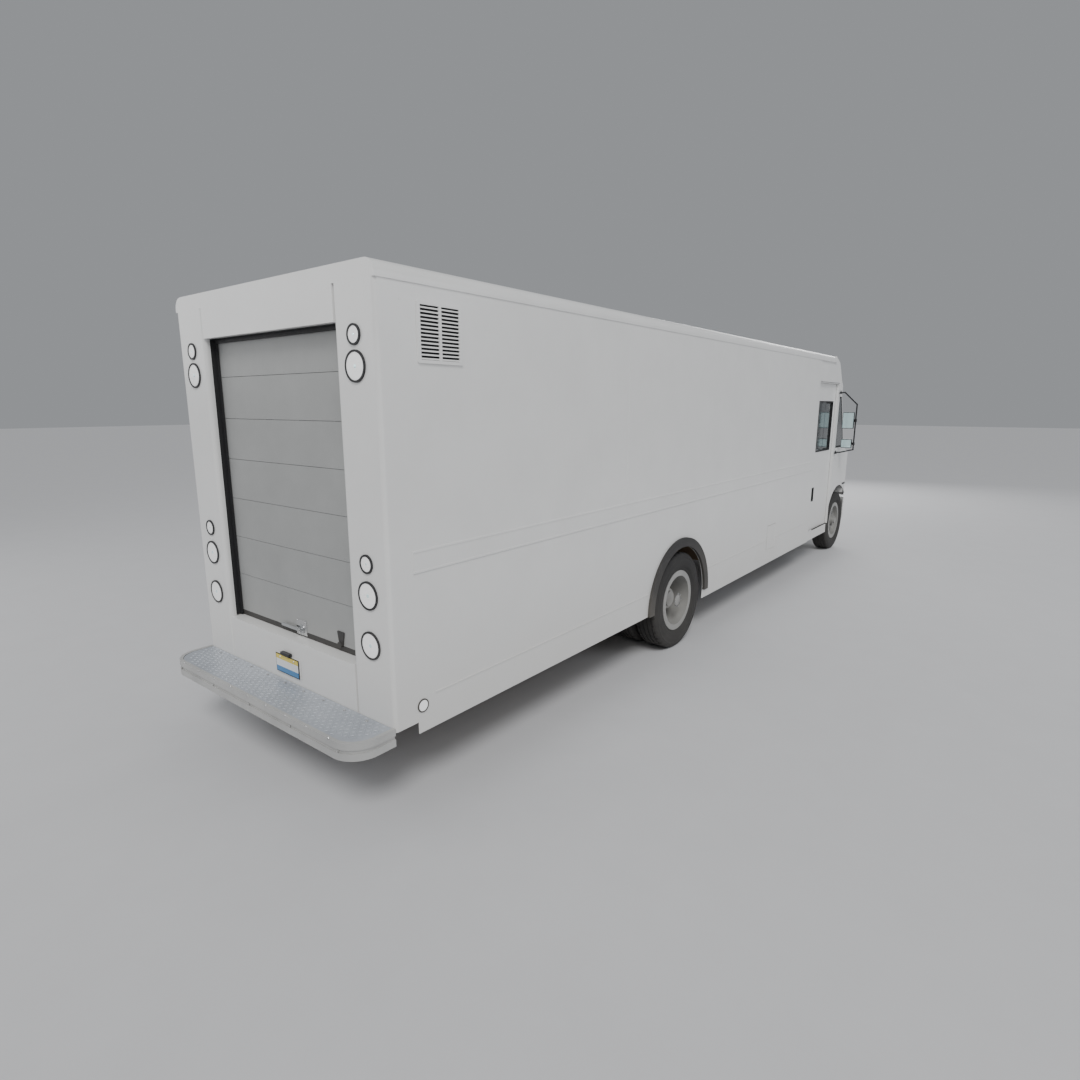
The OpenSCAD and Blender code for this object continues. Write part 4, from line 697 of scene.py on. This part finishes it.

# bright centres of the large rear lamps, in the glowing mirror material: a painted reflection
b = Build()
for _, _, lo, hi in islands("lamp_lenses"):
    r = (hi[2] - lo[2]) / 2
    if hi[1] > REAR_Y - 0.05 and hi[1] - lo[1] > 0.02 and r > 0.045:
        c = middle(lo, hi)
        b.lathe((c[0], hi[1] - 0.0002, c[2]), Y_AXIS,
                [(r * 0.16, 0), (r * 0.14, 0.0012), (TIP, 0.0016)], 20)
b.make("lamp_centres", EXTRA["mirror"], "truck")

# inside faces of the rear door hardware are zinc, the strap and seal stay black
paint("rear_door_hardware", M["galvanised"], lambda c, n: c.y < DOOR_LO[1] - 0.0002
      or abs(c.x) > DOOR_HI[0] + 0.0002 or c.z > DOOR_HI[2] + 0.002)

# ---------- dashboard: dials, vents and a key pad ----------
DASH_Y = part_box("dashboard")[0][1]
WHEEL_LO, WHEEL_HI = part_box("steering_wheel")
wheel_x = (WHEEL_LO[0] + WHEEL_HI[0]) / 2
dial_y = DASH_Y + 0.490 - 0.0005
KEY, KEY_PITCH = 0.028, 0.035
VENT_SLATS, VENT_PITCH = 6, 0.022
trim = Build()
dials = Build()
for dx, r, z in ((-0.11, 0.055, 1.765), (0.11, 0.055, 1.765), (-0.01, 0.030, 1.765),
                 (0.0, 0.026, 1.685)):
    dials.lathe((wheel_x + dx, dial_y, z), Y_AXIS, [(r * 0.9, 0), (r * 0.9, 0.003), (TIP, 0.003)])
    trim.lathe((wheel_x + dx, dial_y, z), Y_AXIS,
               [(r, 0), (r, 0.008), (r * 0.9, 0.009), (r * 0.9, 0.002)])
for x in (-0.72, -0.28, 0.16):
    for k in range(VENT_SLATS):
        z = 1.60 + k * VENT_PITCH
        trim.box((x, DASH_Y + 0.409, z), (x + 0.16, DASH_Y + 0.416, z + 0.010))
for i in range(3):
    for j in range(2):
        x, z = 0.05 + i * KEY_PITCH, 1.54 + j * KEY_PITCH
        trim.box((x, DASH_Y + 0.439, z), (x + KEY, DASH_Y + 0.446, z + KEY))
trim.make("dash_trim", M["black_plastic"], "truck")
dials.make("dash_dials", EXTRA["dial"], "truck")

# ---------- driver's seat: frame kept from CAD, cushions as cloth ----------
CLOTH_FRAMES = 20
PAD_VOXEL = 0.012
CHANNEL_X, CHANNEL_W, CHANNEL_DEPTH = 0.095, 0.016, 0.006
CUSHION_LOW = 1.29      # the cushion is the widest part that starts above this height


def extent(part, axis):
    return part[3][axis] - part[2][axis]


parts = sorted(islands("driver_seat"), key=lambda p: extent(p, 0) * extent(p, 1) * extent(p, 2))
back = max(parts, key=lambda p: p[3][2])
cushion = max((p for p in parts if p is not back and p[2][2] > CUSHION_LOW),
              key=lambda p: extent(p, 0) * extent(p, 1))
b = Build()
for part in parts:
    if part is not back and part is not cushion:
        b.add(part[0], part[1])
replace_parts(b.make("seat_frame", M["chassis_black"], "driver_seat"),
            "driver_seat")


def inflate(o, swell):
    """Blows a closed piece up as cloth, and holds each point within swell of its start."""
    start = [v.co.copy() for v in o.data.vertices]
    cloth = o.modifiers.new("cloth", "CLOTH")
    cloth.settings.use_pressure = True
    cloth.settings.uniform_pressure_force = 4.0
    cloth.settings.effector_weights.gravity = 0.0
    cloth.point_cache.frame_start = 1
    cloth.point_cache.frame_end = CLOTH_FRAMES
    for f in range(1, CLOTH_FRAMES + 1):
        bpy.context.scene.frame_set(f)
    blown = o.evaluated_get(bpy.context.evaluated_depsgraph_get())
    now = [v.co.copy() for v in blown.to_mesh().vertices]
    blown.to_mesh_clear()
    o.modifiers.remove(cloth)
    bpy.context.scene.frame_set(1)
    for v, a, q in zip(o.data.vertices, start, now):
        d = q - a
        if d.length > swell:
            d = d * (swell / d.length)
        v.co = a + d


def pad(name, part, swell):
    """A padded piece in place of a seat solid, with two sewn channels in its face."""
    points, faces, lo, hi = part
    c = Vector(middle(lo, hi))
    shrink = [1 - 2 * swell * 0.8 / max(q - p, 0.05) for p, q in zip(lo, hi)]
    b = Build()
    b.add([[c[i] + (p[i] - c[i]) * shrink[i] for i in range(3)] for p in points], faces)
    o = b.make(name, M["seat_vinyl"], "driver_seat", 60)
    remesh = o.modifiers.new("remesh", "REMESH")
    remesh.mode = "VOXEL"
    remesh.voxel_size = PAD_VOXEL
    bpy.context.view_layer.objects.active = o
    with bpy.context.temp_override(object=o, active_object=o, selected_objects=[o]):
        bpy.ops.object.modifier_apply(modifier="remesh")
    inflate(o, swell)
    for v in o.data.vertices:
        for x in (-CHANNEL_X, CHANNEL_X):
            q = abs(v.co.x - c.x - x)
            if q < CHANNEL_W:
                v.co += (c - v.co).normalized() * CHANNEL_DEPTH * (1 - q / CHANNEL_W)
    o.data.shade_smooth()
    sub = o.modifiers.new("sub", "SUBSURF")
    sub.levels = sub.render_levels = 1


pad("seat_cushion", cushion, 0.016)
pad("seat_back", back, 0.014)

# ---------- edges ----------
for node, width in (("rear_bumper", 0.004), ("front_bumper", 0.002), ("rear_door_panels", 0.002),
                    ("steering_wheel", 0.001), ("rear_latch", 0.0015), ("fuel_door", 0.001)):
    soften(node, width)

# ---------- floor, light and camera ----------
FLOOR = 90
scene = bpy.context.scene
mesh = bpy.data.meshes.new("floor")
mesh.from_pydata([(-FLOOR, -FLOOR, 0), (FLOOR, -FLOOR, 0), (FLOOR, FLOOR, 0), (-FLOOR, FLOOR, 0)],
                 [], [(0, 1, 2, 3)])
mesh.materials.append(material("studio_floor", (0.62, 0.62, 0.63), 0.75, dirt=0.03))
floor = bpy.data.objects.new("floor", mesh)
scene.collection.objects.link(floor)
world = bpy.data.worlds.new("studio")
scene.world = world
world.use_nodes = True
sky = world.node_tree.nodes["Background"]
sky.inputs["Color"].default_value = (0.83, 0.86, 0.90, 1)
sky.inputs["Strength"].default_value = 0.36


def aim(name, data, direction):
    """Links a light or the camera so that it looks along a direction."""
    o = bpy.data.objects.new(name, data)
    o.rotation_euler = Vector(direction).to_track_quat("-Z", "Y").to_euler()
    scene.collection.objects.link(o)
    return o


def area(name, at, to, size, power, colour=(1, 1, 1)):
    light = bpy.data.lights.new(name, "AREA")
    light.shape = "RECTANGLE"
    light.size, light.size_y = size
    light.energy = power
    light.color = colour
    o = aim(name, light, Vector(to) - Vector(at))
    o.location = at


area("key", (-9, 13, 10), (0, 2, 1.5), (9, 6), 420, (1.0, 0.98, 0.95))
area("side", (-13, -3, 7), (0, -1, 1.5), (9, 5), 330, (0.95, 0.97, 1.0))
area("fill", (8, 11, 6), (0, 3, 1.5), (8, 6), 260)
sun = bpy.data.lights.new("sun", "SUN")
sun.energy = 1.5
sun.angle = 0.35
aim("sun", sun, (0.55, -0.62, -0.95))
area("nose", (3, -15, 6), (0, -4, 1.5), (7, 5), 500)

camera = bpy.data.cameras.new("camera")
camera.sensor_fit = "HORIZONTAL"
camera.sensor_width = 36.0
camera.lens = 21.713
camera.clip_end = 400
camera_o = aim("camera", camera, (0.6048, -0.7701, -0.2027))
camera_o.location = (-4.2366, REAR_Y + 2.4022, 2.6273)
scene.camera = camera_o
scene.view_settings.view_transform = "AgX"
